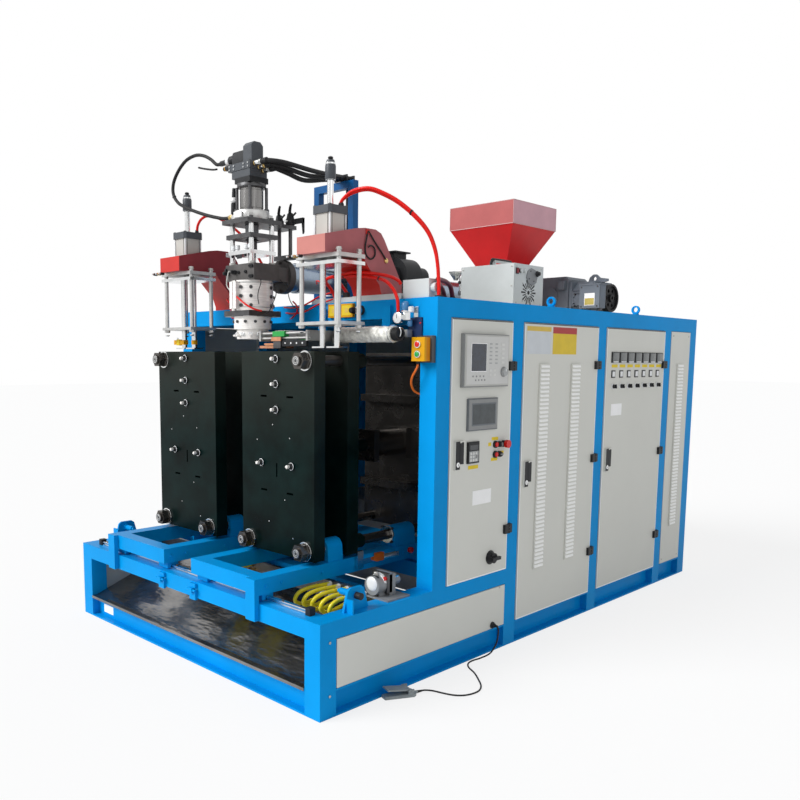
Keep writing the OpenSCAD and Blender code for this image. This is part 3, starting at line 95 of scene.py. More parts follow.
def node(tree, kind, links, **settings):
    """Adds a node and fills its inputs."""
    made = tree.nodes.new(kind)
    for name, value in settings.items():
        setattr(made, name, value)
    return fill(tree, made, links)

def finish(name, colour, rough, metal=0.0, mottle=0.08, patch=3.0, stretch=(1, 1, 1), grain=0.0, grain_size=300.0,
           coat=0.0, painted_reflection=None, shine=0.2):
    """A material: mottle is the share by which the colour varies, grain the depth of the surface in millimetres, and
    painted_reflection a painted reflection blended in by height, as (height in m where it is full, height where it
    ends, colour, share)."""
    made = bpy.data.materials.new(name)
    made.use_nodes = True
    tree = made.node_tree
    place = node(tree, "ShaderNodeTexCoord", {})
    turn = node(tree, "ShaderNodeMapping", {"Vector": place.outputs["Object"], "Scale": stretch})
    soft = node(tree, "ShaderNodeTexNoise", {"Vector": turn.outputs["Vector"], "Scale": patch, "Detail": 5,
                                             "Roughness": 0.6})
    shades = node(tree, "ShaderNodeValToRGB", {"Fac": soft.outputs["Fac"]})
    low, high = shades.color_ramp.elements
    low.position, high.position = 0.3, 0.7
    low.color = [c * (1 - mottle) for c in colour] + [1]
    high.color = [min(1, c * (1 + mottle)) for c in colour] + [1]
    hue = shades.outputs["Color"]
    # A painted reflection: a second colour blended in by height.
    if painted_reflection:
        full, end, reflection_tint, share = painted_reflection
        height = node(tree, "ShaderNodeSeparateXYZ", {"Vector": place.outputs["Object"]})
        near = node(tree, "ShaderNodeMapRange", {"Value": height.outputs["Z"], "From Min": full, "From Max": end,
                                                 "To Min": share, "To Max": 0})
        hue = node(tree, "ShaderNodeMix", {}, data_type="RGBA")
        hue = fill(tree, hue, {0: near.outputs["Result"], 6: shades.outputs["Color"], 7: [*reflection_tint, 1]}).outputs[2]
    dull = node(tree, "ShaderNodeMapRange", {"Value": soft.outputs["Fac"], "To Min": rough * 0.8,
                                             "To Max": min(1, rough * 1.25)})
    shader = fill(tree, tree.nodes["Principled BSDF"], {
        "Base Color": hue, "Roughness": dull.outputs["Result"], "Metallic": metal, "Specular IOR Level": shine,
        "Coat Weight": coat, "Coat Roughness": 0.12})
    if grain:
        fine = node(tree, "ShaderNodeTexNoise", {"Vector": turn.outputs["Vector"], "Scale": grain_size, "Detail": 2})
        bump = node(tree, "ShaderNodeBump", {"Height": fine.outputs["Fac"], "Strength": 0.6, "Distance": grain / 1000})
        fill(tree, shader, {"Normal": bump.outputs["Normal"]})
    return made

blue_paint = finish("blue_paint", (0.001, 0.275, 0.67), 0.36, mottle=0.09, patch=2.2, grain=0.25, grain_size=160,
                    shine=0.05)
portal_blue = finish("portal_blue", (0.002, 0.085, 0.26), 0.36, mottle=0.15, patch=3, grain=0.25, grain_size=160,
                     shine=0.2)
door_grey = finish("door_grey", (0.655, 0.655, 0.61), 0.42, mottle=0.03, patch=1.6, grain=0.12, grain_size=420)
pale_enamel = finish("pale_enamel", (0.58, 0.61, 0.61), 0.36, mottle=0.05, patch=7, grain=0.1, grain_size=420,
                     shine=0.4)
motor_grey = finish("motor_grey", (0.155, 0.18, 0.215), 0.5, mottle=0.14, patch=9, grain=0.35, grain_size=260)
gear_grey = finish("gear_grey", (0.15, 0.17, 0.20), 0.5, mottle=0.12, patch=6, grain=0.3, grain_size=240)
red_paint = finish("red_paint", (0.58, 0.010, 0.012), 0.33, mottle=0.10, patch=5, grain=0.2, grain_size=190,
                   shine=0.25)
pedal_grey = finish("pedal_grey", (0.30, 0.33, 0.34), 0.45, mottle=0.1, patch=20, grain=0.3, grain_size=500)
# The platens turn paler towards the top as painted reflection.
platen_black = finish("platen_black", (0.002, 0.0085, 0.0078), 0.3, mottle=0.55, patch=6, grain=0.10, grain_size=120,
                      painted_reflection=(1.52, 1.05, (0.034, 0.036, 0.030), 0.5), shine=0.06)
head_black = finish("head_black", (0.085, 0.08, 0.078), 0.45, metal=0.1, mottle=0.25, patch=12, grain=0.2,
                    grain_size=320)
# The barrel's blue tint is painted reflection of the blue frame on its chrome.
barrel_steel_painted_blue_reflection = finish("barrel_steel_painted_blue_reflection", (0.30, 0.36, 0.44), 0.2, metal=0.9, mottle=0.2, patch=4, grain=0.1, shine=0.4)
stainless = finish("stainless", (0.24, 0.235, 0.23), 0.2, metal=0.95, mottle=0.35, patch=4, stretch=(0.8, 2.2, 1),
                   grain=11, grain_size=8)
bright_steel = finish("bright_steel", (0.72, 0.73, 0.73), 0.16, metal=1.0, mottle=0.08, patch=14, grain=0.03,
                      grain_size=500)
machined_steel = finish("machined_steel", (0.84, 0.81, 0.78), 0.34, metal=0.2, mottle=0.16, patch=16,
                        stretch=(1, 1, 14), grain=0.08, grain_size=60)
plate_steel = finish("plate_steel", (0.50, 0.50, 0.49), 0.34, metal=0.75, mottle=0.12, patch=18, grain=0.1,
                     grain_size=260)
bar_steel = finish("bar_steel", (0.10, 0.092, 0.085), 0.26, metal=0.85, mottle=0.25, patch=10, stretch=(1, 0.2, 1),
                   grain=0.05)
dark_steel = finish("dark_steel", (0.085, 0.085, 0.088), 0.38, metal=0.8, mottle=0.25, patch=20, grain=0.15,
                    grain_size=320)
zinc_plate = finish("zinc_plate", (0.46, 0.46, 0.44), 0.45, metal=0.8, mottle=0.12, patch=9, grain=0.1)
valve_steel = finish("valve_steel", (0.22, 0.215, 0.21), 0.2, metal=0.9, mottle=0.2, patch=8, stretch=(3, 3, 0.3),
                     grain=0.05)
cast_grey = finish("cast_grey", (0.24, 0.25, 0.26), 0.5, metal=0.3, mottle=0.15, patch=10, grain=0.3, grain_size=200)
cylinder_alloy = finish("cylinder_alloy", (0.50, 0.485, 0.45), 0.36, metal=0.15, mottle=0.05, patch=10, grain=0.04,
                        grain_size=400)
foil_wrap = finish("foil_wrap", (0.74, 0.73, 0.68), 0.55, metal=0.25, mottle=0.3, patch=60, grain=3.5, grain_size=90)
copper_plate = finish("copper_plate", (0.62, 0.30, 0.17), 0.3, metal=1.0, mottle=0.2, patch=30, grain=0.1)
brass = finish("brass", (0.60, 0.42, 0.16), 0.28, metal=1.0, mottle=0.15, patch=40, grain=0.05)
black_plastic = finish("black_plastic", (0.018, 0.019, 0.021), 0.42, mottle=0.2, patch=30, grain=0.15, grain_size=600)
black_rubber = finish("black_rubber", (0.016, 0.016, 0.017), 0.52, mottle=0.25, patch=24, grain=0.3, grain_size=420)
panel_plastic = finish("panel_plastic", (0.50, 0.50, 0.475), 0.45, mottle=0.03, patch=12, grain=0.1, grain_size=700)
face_foil = finish("face_foil", (0.60, 0.60, 0.585), 0.36, mottle=0.03, patch=15, grain=0.04, grain_size=700)
yellow_plastic = finish("yellow_plastic", (0.64, 0.31, 0.003), 0.34, mottle=0.05, patch=20, grain=0.1, grain_size=500)
tag_yellow = finish("tag_yellow", (0.74, 0.55, 0.03), 0.5, mottle=0.05, patch=30, grain=0.03)
red_plastic = finish("red_plastic", (0.62, 0.012, 0.012), 0.26, mottle=0.06, patch=30, grain=0.03, coat=0.3)
green_plastic = finish("green_plastic", (0.02, 0.32, 0.06), 0.3, mottle=0.06, patch=30, grain=0.03, coat=0.3)
red_hose = finish("red_hose", (0.72, 0.010, 0.006), 0.3, mottle=0.1, patch=12, grain=0.05, grain_size=260, coat=0.15,
                  shine=0.15)
yellow_hose = finish("yellow_hose", (0.78, 0.66, 0.02), 0.3, mottle=0.08, patch=18, grain=0.05, coat=0.3)
screen_glass = finish("screen_glass", (0.035, 0.04, 0.045), 0.12, mottle=0.3, patch=30, coat=0.6)
grey_screen = finish("grey_screen", (0.11, 0.12, 0.12), 0.16, mottle=0.25, patch=22, coat=0.5)
white_plate = finish("white_plate", (0.92, 0.92, 0.92), 0.45, mottle=0.03, patch=20, grain=0.02)
lit_white = finish("lit_white", (0.76, 0.77, 0.78), 0.25, mottle=0.03, patch=30, grain=0.02, coat=0.4)
blue_glass = finish("blue_glass", (0.05, 0.20, 0.42), 0.12, mottle=0.1, patch=20, coat=0.6)
print("finishes made:", len(bpy.data.materials))

# %% [markdown]
# ## The drawn parts take their finishes
# The frame, the platens and most other solids come from CAD with the right shape, so they keep it and only take
# a finish.

# %% Finishes for the drawn parts
painted = (
    (blue_paint, "base_frame body_frame travel_stops lifting_eyes carriage_left carriage_right"),
    (door_grey, "fixed_panels door_front door_middle door_rear"),
    (black_plastic, "servo_valve cooling_blower door_hinges zone_controls isolator_knob handle_front handle_middle "
                    "handle_rear"),
    (platen_black, "front_platen_left front_platen_right middle_platen_left middle_platen_right"),
    (bright_steel, "shuttle_rails blow_pins_left blow_pins_right programming_rod"),
    (cast_grey, "hydraulic_unit shuttle_drive programming_cylinder"), (machined_steel, "head_body die_ring"),
    (plate_steel, "blow_guides cutter_guide"), (bar_steel, "tie_bars_left tie_bars_right"),
    (red_paint, "hopper blow_arms"), (yellow_plastic, "air_preparation button_box"),
    (pale_enamel, "supply_box valve_box"), (pedal_grey, "pedal_base pedal_plate"),
    (black_rubber, "pedal_cable motor_fan"), (stainless, "product_chute"), (zinc_plate, "electrics_plate"),
    (head_black, "head_block"), (dark_steel, "head_yoke"), (barrel_steel_painted_blue_reflection, "extruder_barrel"),
    (portal_blue, "barrel_stand"), (gear_grey, "gearbox"), (motor_grey, "drive_motor"),
    (cylinder_alloy, "blow_cylinders"), (foil_wrap, "cutter_drive"), (red_hose, "hoses"),
    (copper_plate, "cutter_head"), (panel_plastic, "operator_panel"), (red_plastic, "stop_button"))
for made, names in painted:
    for name in names.split():
        part = nodes[name]
        if not part.material_slots:
            part.data.materials.append(made)
        for place in part.material_slots:
            place.material = made
print("painted:", sum(len(names.split()) for made, names in painted), "of", len(nodes))

# %% [markdown]
# ## Building helpers
# Most metal pieces are blocks, turned shapes, bent tubes and cut plates. A small class collects them in one
# mesh, remembers the finish of each face, and closes every shape, because the machine is looked at from all
# sides and each piece also has to work as an exported mesh.

# %% A workpiece in drawing millimetres
AXES = {"x": (1, 2, 0), "y": (2, 0, 1), "z": (0, 1, 2)}

def along(axis, u, v, d):
    """The drawing point at distance d along axis and u, v across it. Across x are y z, across y z x, across z x y."""
    p = [0, 0, 0]
    p[AXES[axis][0]], p[AXES[axis][1]], p[AXES[axis][2]] = u, v, d
    return p

def circle(n):
    return [(math.cos(math.tau * k / n), math.sin(math.tau * k / n)) for k in range(n)]

def skin(bm, rows, loop=False):
    """Faces between rows of vertices. Both ends are capped, or the last row is joined to the first."""
    n = len(rows[0])
    faces = [bm.faces.new((a[k], a[(k + 1) % n], b[(k + 1) % n], b[k]))
             for a, b in zip(rows, rows[1:] + rows[:loop]) for k in range(n)]
    return faces if loop else faces + [bm.faces.new(rows[0][::-1]), bm.faces.new(rows[-1])]

def as_mesh(name, bm):
    mesh = bpy.data.meshes.new(name)
    bm.to_mesh(mesh)
    bm.free()
    return mesh

class Workpiece:
    def __init__(self, name):
        self.name, self.bm, self.finishes = name, bmesh.new(), []

    def paint(self, faces, made):
        if made not in self.finishes:
            self.finishes.append(made)
        for face in faces:
            face.material_index = self.finishes.index(made)

    def solid(self, rings, made, edge=0, loop=False):
        """Skins a row of rings of drawing points, and rounds its edges to a width."""
        faces = skin(self.bm, [[self.bm.verts.new(at(*p)) for p in ring] for ring in rings], loop)
        self.paint(faces, made)
        if edge:
            rim = {e for f in faces for e in f.edges if e.calc_face_angle(0) > 0.5}
            bmesh.ops.bevel(self.bm, geom=list(rim), offset=edge / 1000, segments=2, profile=0.6, affect="EDGES",
                            clamp_overlap=True)

    def block(self, x, y, z, made, edge=0):
        self.solid([[(x[0], y[0], h), (x[1], y[0], h), (x[1], y[1], h), (x[0], y[1], h)] for h in z], made, edge)

    def plate(self, outline, axis, a, b, made, edge=0):
        """Outline points lie across the axis, in the order of along()."""
        self.solid([[along(axis, u, v, d) for u, v in outline] for d in (a, b)], made, edge)

    def turned(self, axis, u, v, profile, made, n=32, loop=False):
        """Profile is a row of (distance along the axis, radius)."""
        self.solid([[along(axis, u + r * c, v + r * s, d) for c, s in circle(n)] for d, r in profile], made, 0, loop)

    def rod(self, axis, u, v, a, b, r, made, n=32, edge=0.0):
        e = min(edge, r * 0.5)
        profile = [(a, r - e), (a + e, r), (b - e, r), (b, r - e)] if e else [(a, r), (b, r)]
        self.turned(axis, u, v, profile, made, n)

    def pipe(self, axis, u, v, a, b, r, bore, made, n=40, edge=0.6):
        """A tube with a real wall, open at both ends."""
        self.turned(axis, u, v, [(a + edge, bore), (a, bore + edge), (a, r - edge), (a + edge, r), (b - edge, r),
                                 (b, r - edge), (b, bore + edge), (b - edge, bore)], made, n, True)

    def bent(self, route, r, made, n=10):
        """A tube along a route, with one radius or one for each point."""
        points = [Vector(p) for p in route]
        radii = r if isinstance(r, (list, tuple)) else [r] * len(points)
        rings, side = [], None
        for i, p in enumerate(points):
            way = (points[min(i + 1, len(points) - 1)] - points[max(i - 1, 0)]).normalized()
            if side is None:
                side = way.orthogonal()
            side = (side - way * side.dot(way)).normalized()
            rings.append([p + radii[i] * (c * side + s * way.cross(side)) for c, s in circle(n)])
        self.solid(rings, made)

    def done(self, body, slot=None, sharp=38):
        """Closes the workpiece as a plain object on its body."""
        bmesh.ops.recalc_face_normals(self.bm, faces=self.bm.faces)
        mesh = as_mesh(self.name, self.bm)
        for made in self.finishes:
            mesh.materials.append(made)
        return keep(self.name, mesh, body, sharp)

def keep(name, mesh, body, sharp=38):
    """Puts a mesh into the scene on its body, smooth up to an angle."""
    mesh.polygons.foreach_set("use_smooth", [True] * len(mesh.polygons))
    mesh.set_sharp_from_angle(angle=math.radians(sharp))
    piece = added(name, mesh)
    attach(piece, body)
    print(name, "faces:", len(mesh.polygons))
    return piece

def flowing(points, steps=6):
    """A smooth line through a few route points."""
    p = [Vector(q) for q in points]
    line = []
    for i in range(len(p) - 1):
        a, b, c, d = p[max(i - 1, 0)], p[i], p[i + 1], p[min(i + 2, len(p) - 1)]
        for k in range(steps):
            t = k / steps
            line.append(0.5 * (2 * b + (c - a) * t + (2 * a - 5 * b + 4 * c - d) * t * t
                               + (3 * b - a - 3 * c + d) * t ** 3))
    return line + [p[-1]]

print("helpers ready")

# %% [markdown]
# ## The foot switch cable
# The cable leaves the lower side panel through a gland, drops to the floor and runs in a loose loop to the foot
# switch. A curve with a round bevel is right for it: its length can be measured, and it bends only as tightly
# as a real rubber cable.

# %% The cable and its strain reliefs
cable_route = [(1045.3, 1205, 142), (1053, 1205, 142), (1061, 1204, 140), (1072, 1198, 118), (1075, 1180, 65),
               (1068, 1140, 20), (1054, 1080, 6), (1046, 1020, 5), (1054, 975, 5), (1085, 935, 5), (1150, 895, 5),
               (1215, 840, 5), (1265, 790, 5), (1290, 740, 5), (1290, 690, 5), (1272, 645, 5), (1238, 615, 5),
               (1190, 598, 5), (1148, 582, 7), (1124, 556, 10), (1114.8, 531.2, 10), (1110.6, 519.6, 10)]
cable_line = bpy.data.curves.new("foot_switch_cable", "CURVE")
cable_line.dimensions = "3D"
cable_line.bevel_depth, cable_line.bevel_resolution, cable_line.resolution_u = 0.004, 3, 6
cable_line.use_fill_caps = True
run = cable_line.splines.new("BEZIER")
run.bezier_points.add(len(cable_route) - 1)
spots = [at(*p) for p in cable_route]
for i, knot in enumerate(run.bezier_points):
    lead = (spots[min(i + 1, len(spots) - 1)] - spots[max(i - 1, 0)]) / 6
    knot.co, knot.handle_left, knot.handle_right = spots[i], spots[i] - lead, spots[i] + lead
cable_line.materials.append(black_rubber)
cable = added("foot_switch_cable", cable_line)
cable_points = flowing(cable_route, 6)

boots = Workpiece("cable_strain_reliefs")
for line, reach, wide, taper, ridge in ((cable_points, 30, 7.6, 3.2, 0.35), (cable_points[::-1], 26, 6.9, 2.5, 0.3)):
    near = [p for p in line if (p - line[0]).length < reach]
    boots.bent(near, [wide - taper * i / (len(near) - 1) + (ridge if i % 3 == 0 else 0) for i in range(len(near))],
               black_rubber, 20)
boots = boots.done("machine", "cable_rubber")
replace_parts(cable, "pedal_cable")
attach(cable, "machine")

# %% [markdown]
# ## Geometry Nodes for what repeats
# Screws, keys, louvres and hose bands repeat by a rule, so node trees place them. Each tree has named sizes, ends
# in real geometry with its finish set, and is turned into a plain mesh at once.

# %% Tree helpers
def new_tree(name, sockets):
    """A tree with a geometry input and the named inputs, given as name: (kind, value)."""
    tree = bpy.data.node_groups.new(name, "GeometryNodeTree")
    tree.interface.new_socket("Geometry", in_out="INPUT", socket_type="NodeSocketGeometry")
    for label, (kind, value) in sockets.items():
        made = tree.interface.new_socket(label, in_out="INPUT", socket_type="NodeSocket" + kind)
        if value is not None:
            made.default_value = value
    tree.interface.new_socket("Geometry", in_out="OUTPUT", socket_type="NodeSocketGeometry")
    return tree, tree.nodes.new("NodeGroupInput").outputs, tree.nodes.new("NodeGroupOutput")

def dressed(tree, geometry, made):
    """Makes copies real and sets their finish."""
    real = node(tree, "GeometryNodeRealizeInstances", {"Geometry": geometry})
    return node(tree, "GeometryNodeSetMaterial", {"Geometry": real.outputs[0], "Material": made}).outputs[0]

def grown(name, base, tree, values, body, sharp=38):
    """Runs a tree on a base mesh and keeps the result as a plain piece."""
    holder = added(name + "_base", base)
    step = holder.modifiers.new("grow", "NODES")
    step.node_group = tree
    for item in tree.interface.items_tree:
        if item.in_out == "INPUT" and item.name in values:
            step[item.identifier] = values[item.name]
    bpy.context.view_layer.update()
    mesh = bpy.data.meshes.new_from_object(holder.evaluated_get(bpy.context.evaluated_depsgraph_get()))
    mesh.name = name
    holder.modifiers.clear()
    bpy.data.objects.remove(holder)
    return keep(name, mesh, body, sharp)

def points_mesh(name, places, facings):
    """Loose points in drawing millimetres, each with the direction it faces."""
    base = bpy.data.meshes.new(name)
    base.from_pydata([at(*p) for p in places], [], [])
    base.attributes.new("facing", "FLOAT_VECTOR", "POINT").data.foreach_set("vector", [c for f in facings for c in f])
    return base

def route_mesh(name, routes):
    """Lines through drawing points, to be turned into curves by a tree."""
    verts, edges = [], []
    for route in routes:
        edges += [(len(verts) + k, len(verts) + k + 1) for k in range(len(route) - 1)]
        verts += [at(*p) for p in route]
    base = bpy.data.meshes.new(name)
    base.from_pydata(verts, edges, [])
    return base

print("tree helpers ready")

# %% [markdown]
# Four trees do nearly all repeats: one puts a shape on scattered points and turns it to face outwards, one lays
# a shape out in rows, one sweeps a hose along a line and slips bands on it, and one wraps a crinkled sleeve.

# %% Tree: a shape on points
def scatter_tree():
    tree, given, out = new_tree("shape_on_points", {"Shape": ("Object", None), "Size": ("Float", 1.0),
                                                    "Finish": ("Material", None)})
    facing = node(tree, "GeometryNodeInputNamedAttribute", {"Name": "facing"}, data_type="FLOAT_VECTOR")
    spin = node(tree, "FunctionNodeAlignRotationToVector", {"Vector": facing.outputs["Attribute"]}, axis="Z")
    shape = node(tree, "GeometryNodeObjectInfo", {"Object": given["Shape"]})
    many = node(tree, "GeometryNodeInstanceOnPoints", {"Points": given["Geometry"], "Scale": given["Size"],
                "Instance": shape.outputs["Geometry"], "Rotation": spin.outputs["Rotation"]})
    fill(tree, out, {0: dressed(tree, many.outputs["Instances"], given["Finish"])})
    return tree

# %% Tree: rows of a shape
def rows_tree():
    tree, given, out = new_tree("rows_of_shape", {
        "Shape": ("Object", None), "Start": ("Vector", None), "Count": ("Int", 3), "Step": ("Vector", None),
        "Rows": ("Int", 1), "Row Step": ("Vector", None), "Finish": ("Material", None)})
    line = node(tree, "GeometryNodeMeshLine", {"Count": given["Count"], "Offset": given["Step"]})
    rows = node(tree, "GeometryNodeMeshLine", {"Count": given["Rows"], "Start Location": given["Start"],
                                               "Offset": given["Row Step"]})
    grid = node(tree, "GeometryNodeInstanceOnPoints", {"Points": rows.outputs[0], "Instance": line.outputs[0]})
    spots = node(tree, "GeometryNodeRealizeInstances", {"Geometry": grid.outputs[0]})
    shape = node(tree, "GeometryNodeObjectInfo", {"Object": given["Shape"]})
    many = node(tree, "GeometryNodeInstanceOnPoints", {"Points": spots.outputs[0],
                                                       "Instance": shape.outputs["Geometry"]})
    fill(tree, out, {0: dressed(tree, many.outputs[0], given["Finish"])})
    return tree

# %% Tree: hoses with bands
def hose_tree():
    tree, given, out = new_tree("hose_with_bands", {
        "Radius": ("Float", 0.008), "Sides": ("Int", 12), "Band Spacing": ("Float", 0.2), "Band Width": ("Float", 0.0),
        "Band Radius": ("Float", 0.009), "Finish": ("Material", None), "Band Finish": ("Material", None)})
    line = node(tree, "GeometryNodeMeshToCurve", {"Mesh": given["Geometry"]})
    ring = node(tree, "GeometryNodeCurvePrimitiveCircle", {"Resolution": given["Sides"], "Radius": given["Radius"]})
    tube = node(tree, "GeometryNodeCurveToMesh", {"Curve": line.outputs[0], "Profile Curve": ring.outputs[0],
                                                  "Fill Caps": True})
    spots = node(tree, "GeometryNodeResampleCurve", {"Curve": line.outputs[0], "Length": given["Band Spacing"]},
                 mode="LENGTH")
    way = node(tree, "GeometryNodeInputTangent", {})
    spin = node(tree, "FunctionNodeAlignRotationToVector", {"Vector": way.outputs[0]}, axis="Z")
    band = node(tree, "GeometryNodeMeshCylinder", {"Vertices": 14, "Radius": given["Band Radius"],
                                                   "Depth": given["Band Width"]})
    many = node(tree, "GeometryNodeInstanceOnPoints", {"Points": spots.outputs[0], "Instance": band.outputs[0],
                                                       "Rotation": spin.outputs[0]})
    wanted = node(tree, "FunctionNodeCompare", {"A": given["Band Width"], "B": 0.0001}, operation="GREATER_THAN")
    pick = node(tree, "GeometryNodeSwitch", {}, input_type="GEOMETRY")
    fill(tree, pick, {"Switch": wanted.outputs[0], "True": dressed(tree, many.outputs[0], given["Band Finish"])})
    both = node(tree, "GeometryNodeJoinGeometry", {0: dressed(tree, tube.outputs[0], given["Finish"])})
    fill(tree, both, {0: pick.outputs[0]})
    fill(tree, out, {0: both.outputs[0]})
    return tree

# %% Tree: a crinkled sleeve
def sleeve_tree():
    tree, given, out = new_tree("crinkled_sleeve", {
        "Radius": ("Float", 0.038), "Crease": ("Float", 0.006), "Crease Size": ("Float", 38.0),
        "Seed": ("Int", 5), "Finish": ("Material", None)})
    line = node(tree, "GeometryNodeMeshToCurve", {"Mesh": given["Geometry"]})
    fine = node(tree, "GeometryNodeResampleCurve", {"Curve": line.outputs[0], "Count": 110})
    ring = node(tree, "GeometryNodeCurvePrimitiveCircle", {"Resolution": 72, "Radius": given["Radius"]})
    tube = node(tree, "GeometryNodeCurveToMesh", {"Curve": fine.outputs[0], "Profile Curve": ring.outputs[0],
                                                  "Fill Caps": True})
    rough = node(tree, "ShaderNodeTexNoise", {}, noise_dimensions="4D")
    fill(tree, rough, {"Scale": given["Crease Size"], "W": given["Seed"], "Detail": 4.0, "Roughness": 0.62,
                       "Distortion": 0.5})
    low = node(tree, "ShaderNodeMath", {0: rough.outputs["Fac"], 1: 0.62}, operation="SUBTRACT")
    deep = node(tree, "ShaderNodeMath", {0: low.outputs[0], 1: given["Crease"]}, operation="MULTIPLY")
    outward = node(tree, "GeometryNodeInputNormal", {})
    push = node(tree, "ShaderNodeVectorMath", {0: outward.outputs[0], "Scale": deep.outputs[0]}, operation="SCALE")
    bent = node(tree, "GeometryNodeSetPosition", {"Geometry": tube.outputs[0], "Offset": push.outputs[0]})
    fill(tree, out, {0: dressed(tree, bent.outputs[0], given["Finish"])})
    return tree

SCATTER, ROWS, HOSE, SLEEVE = scatter_tree(), rows_tree(), hose_tree(), sleeve_tree()
print("trees:", [t.name for t in (SCATTER, ROWS, HOSE, SLEEVE)])

# %% [markdown]
# The shapes to repeat are small meshes: a hexagon bolt on its washer, a socket head with its hexagon hole, a
# panel screw, a dome nut and boxes for keys. Each stands on the origin and faces up, and the screws have a radius
# of one millimetre, so that the tree's size is their real radius.

# %% Shapes to repeat
def shape(name, profile, n=12, hole=0):
    """A turned shape from (height, radius) rings; the last hole rings sink into it as a hexagon."""
    bm, rings = bmesh.new(), []
    for i, (h, r) in enumerate(profile):
        six_sided = i >= len(profile) - hole
        reach = [r * math.cos(math.pi / 6) / math.cos((k / n * 6 % 1 - 0.5) * math.pi / 3) if six_sided else r
                 for k in range(n)]
        rings.append([bm.verts.new((q * c / 1000, q * s / 1000, h / 1000)) for q, (c, s) in zip(reach, circle(n))])
    skin(bm, rings)
    return bpy.data.objects.new(name, as_mesh(name, bm))

def box_shape(name, x, y, z, edge=0.0):
    """A block with softened edges, from its half sizes in x and y and its height z, in millimetres."""
    bm = bmesh.new()
    skin(bm, [[bm.verts.new((sx * x / 1000, sy * y / 1000, h / 1000)) for sx,
               sy in ((-1, -1), (1, -1), (1, 1), (-1, 1))] for h in (0, z)])
    if edge:
        rim = [e for e in bm.edges if not all(v.co.z == 0 for v in e.verts)]
        bmesh.ops.bevel(bm, geom=rim, offset=edge / 1000, segments=2, profile=0.7, affect="EDGES", clamp_overlap=True)
    return bpy.data.objects.new(name, as_mesh(name, bm))

socket_screw = shape("socket_screw", [(0, 1), (0.85, 1), (1.0, 0.86), (1.0, 0.5), (0.45, 0.48)], 12, 2)
pan_screw = shape("pan_screw", [(0, 1), (0.3, 0.95), (0.5, 0.62), (0.52, 0.34), (0.3, 0.3)], 12)
hex_bolt = shape("hex_bolt", [(0, 1.25), (0.16, 1.25), (0.17, 1.0), (0.85, 1.0), (0.95, 0.9)], 6)
dome = shape("dome", [(0, 1), (0.3, 0.98), (0.55, 0.82), (0.7, 0.5), (0.74, 0.15)], 16)

def scattered(name, thing, places, facing, size, made, body):
    """Puts a shape on drawing places, all facing one way or each its own."""
    facings = facing if isinstance(facing, list) else [facing] * len(places)
    return grown(name, points_mesh(name, places, facings), SCATTER,
                 {"Shape": thing, "Size": float(size), "Finish": made}, body)

def in_rows(name, thing, start, step, count, made, body, row_step=(0, 0, 0), rows=1):
    """Lays a shape out from a drawing place, by a step within a row and a step between rows."""
    return grown(name, bpy.data.meshes.new(name + "_seed"), ROWS, {
        "Shape": thing, "Start": tuple(at(*start)), "Step": [s / 1000 for s in step], "Count": count, "Rows": rows,
        "Row Step": [s / 1000 for s in row_step], "Finish": made}, body)

def hose(name, routes, r, made, body="machine", sides=12, steps=6, spacing=200, width=0.0, band=None,
         slot="hose_rubber"):
    """Sweeps smooth hoses of one kind; spacing, width and band are for the bands slipped on them."""
    return grown(name, route_mesh(name, [flowing(route, steps) for route in routes]), HOSE, {
        "Radius": r / 1000, "Sides": sides, "Band Spacing": spacing / 1000, "Band Width": width / 1000,
        "Band Radius": r * 1.16 / 1000, "Finish": made, "Band Finish": band or made}, body)

X_WAY, Y_BACK, UP = (1, 0, 0), (0, -1, 0), (0, 0, 1)
print("shapes ready")

# %% [markdown]
# ## The operator's door
# The controls stick out of the door by different amounts: a thick cast frame for the parison programmer, a thin
# bezel for the touch screen, a small keypad and a few lit buttons. They are boxes with softened edges, because
# moulded housings never have knife edges, and their keys are laid out in rows by Geometry Nodes.

# %% Programmer, touch screen and keypad
DOOR, SIDE = 1031, 1027        # the faces of the doors and of the fixed side panels, along x
bezel_grey = finish("bezel_grey", (0.27, 0.275, 0.275), 0.42, mottle=0.05, patch=14, grain=0.1, grain_size=700)
key_grey = finish("key_grey", (0.40, 0.41, 0.41), 0.4, mottle=0.04, patch=20, grain=0.05)
pale_key = finish("pale_key", (0.68, 0.68, 0.66), 0.35, mottle=0.04, patch=30, grain=0.05)
dark_glass = finish("dark_glass", (0.018, 0.026, 0.045), 0.10, mottle=0.3, patch=30, coat=0.7)

bezel_dark = finish("bezel_dark", (0.15, 0.165, 0.18), 0.42, mottle=0.05, patch=14, grain=0.1, grain_size=700)
dark_display = finish("dark_display", (0.05, 0.06, 0.065), 0.14, mottle=0.25, patch=22, coat=0.4)

class DoorWork(Workpiece):
    """A workpiece on a door, where distances count from the door's face."""
    def raised(self, low, high, y, z, made, edge=0):
        self.block((DOOR + low, DOOR + high), y, z, made, edge)

    def knob(self, y, z, profile, made, n=32):
        self.turned("x", y, z, [(DOOR + d, r) for d, r in profile], made, n)

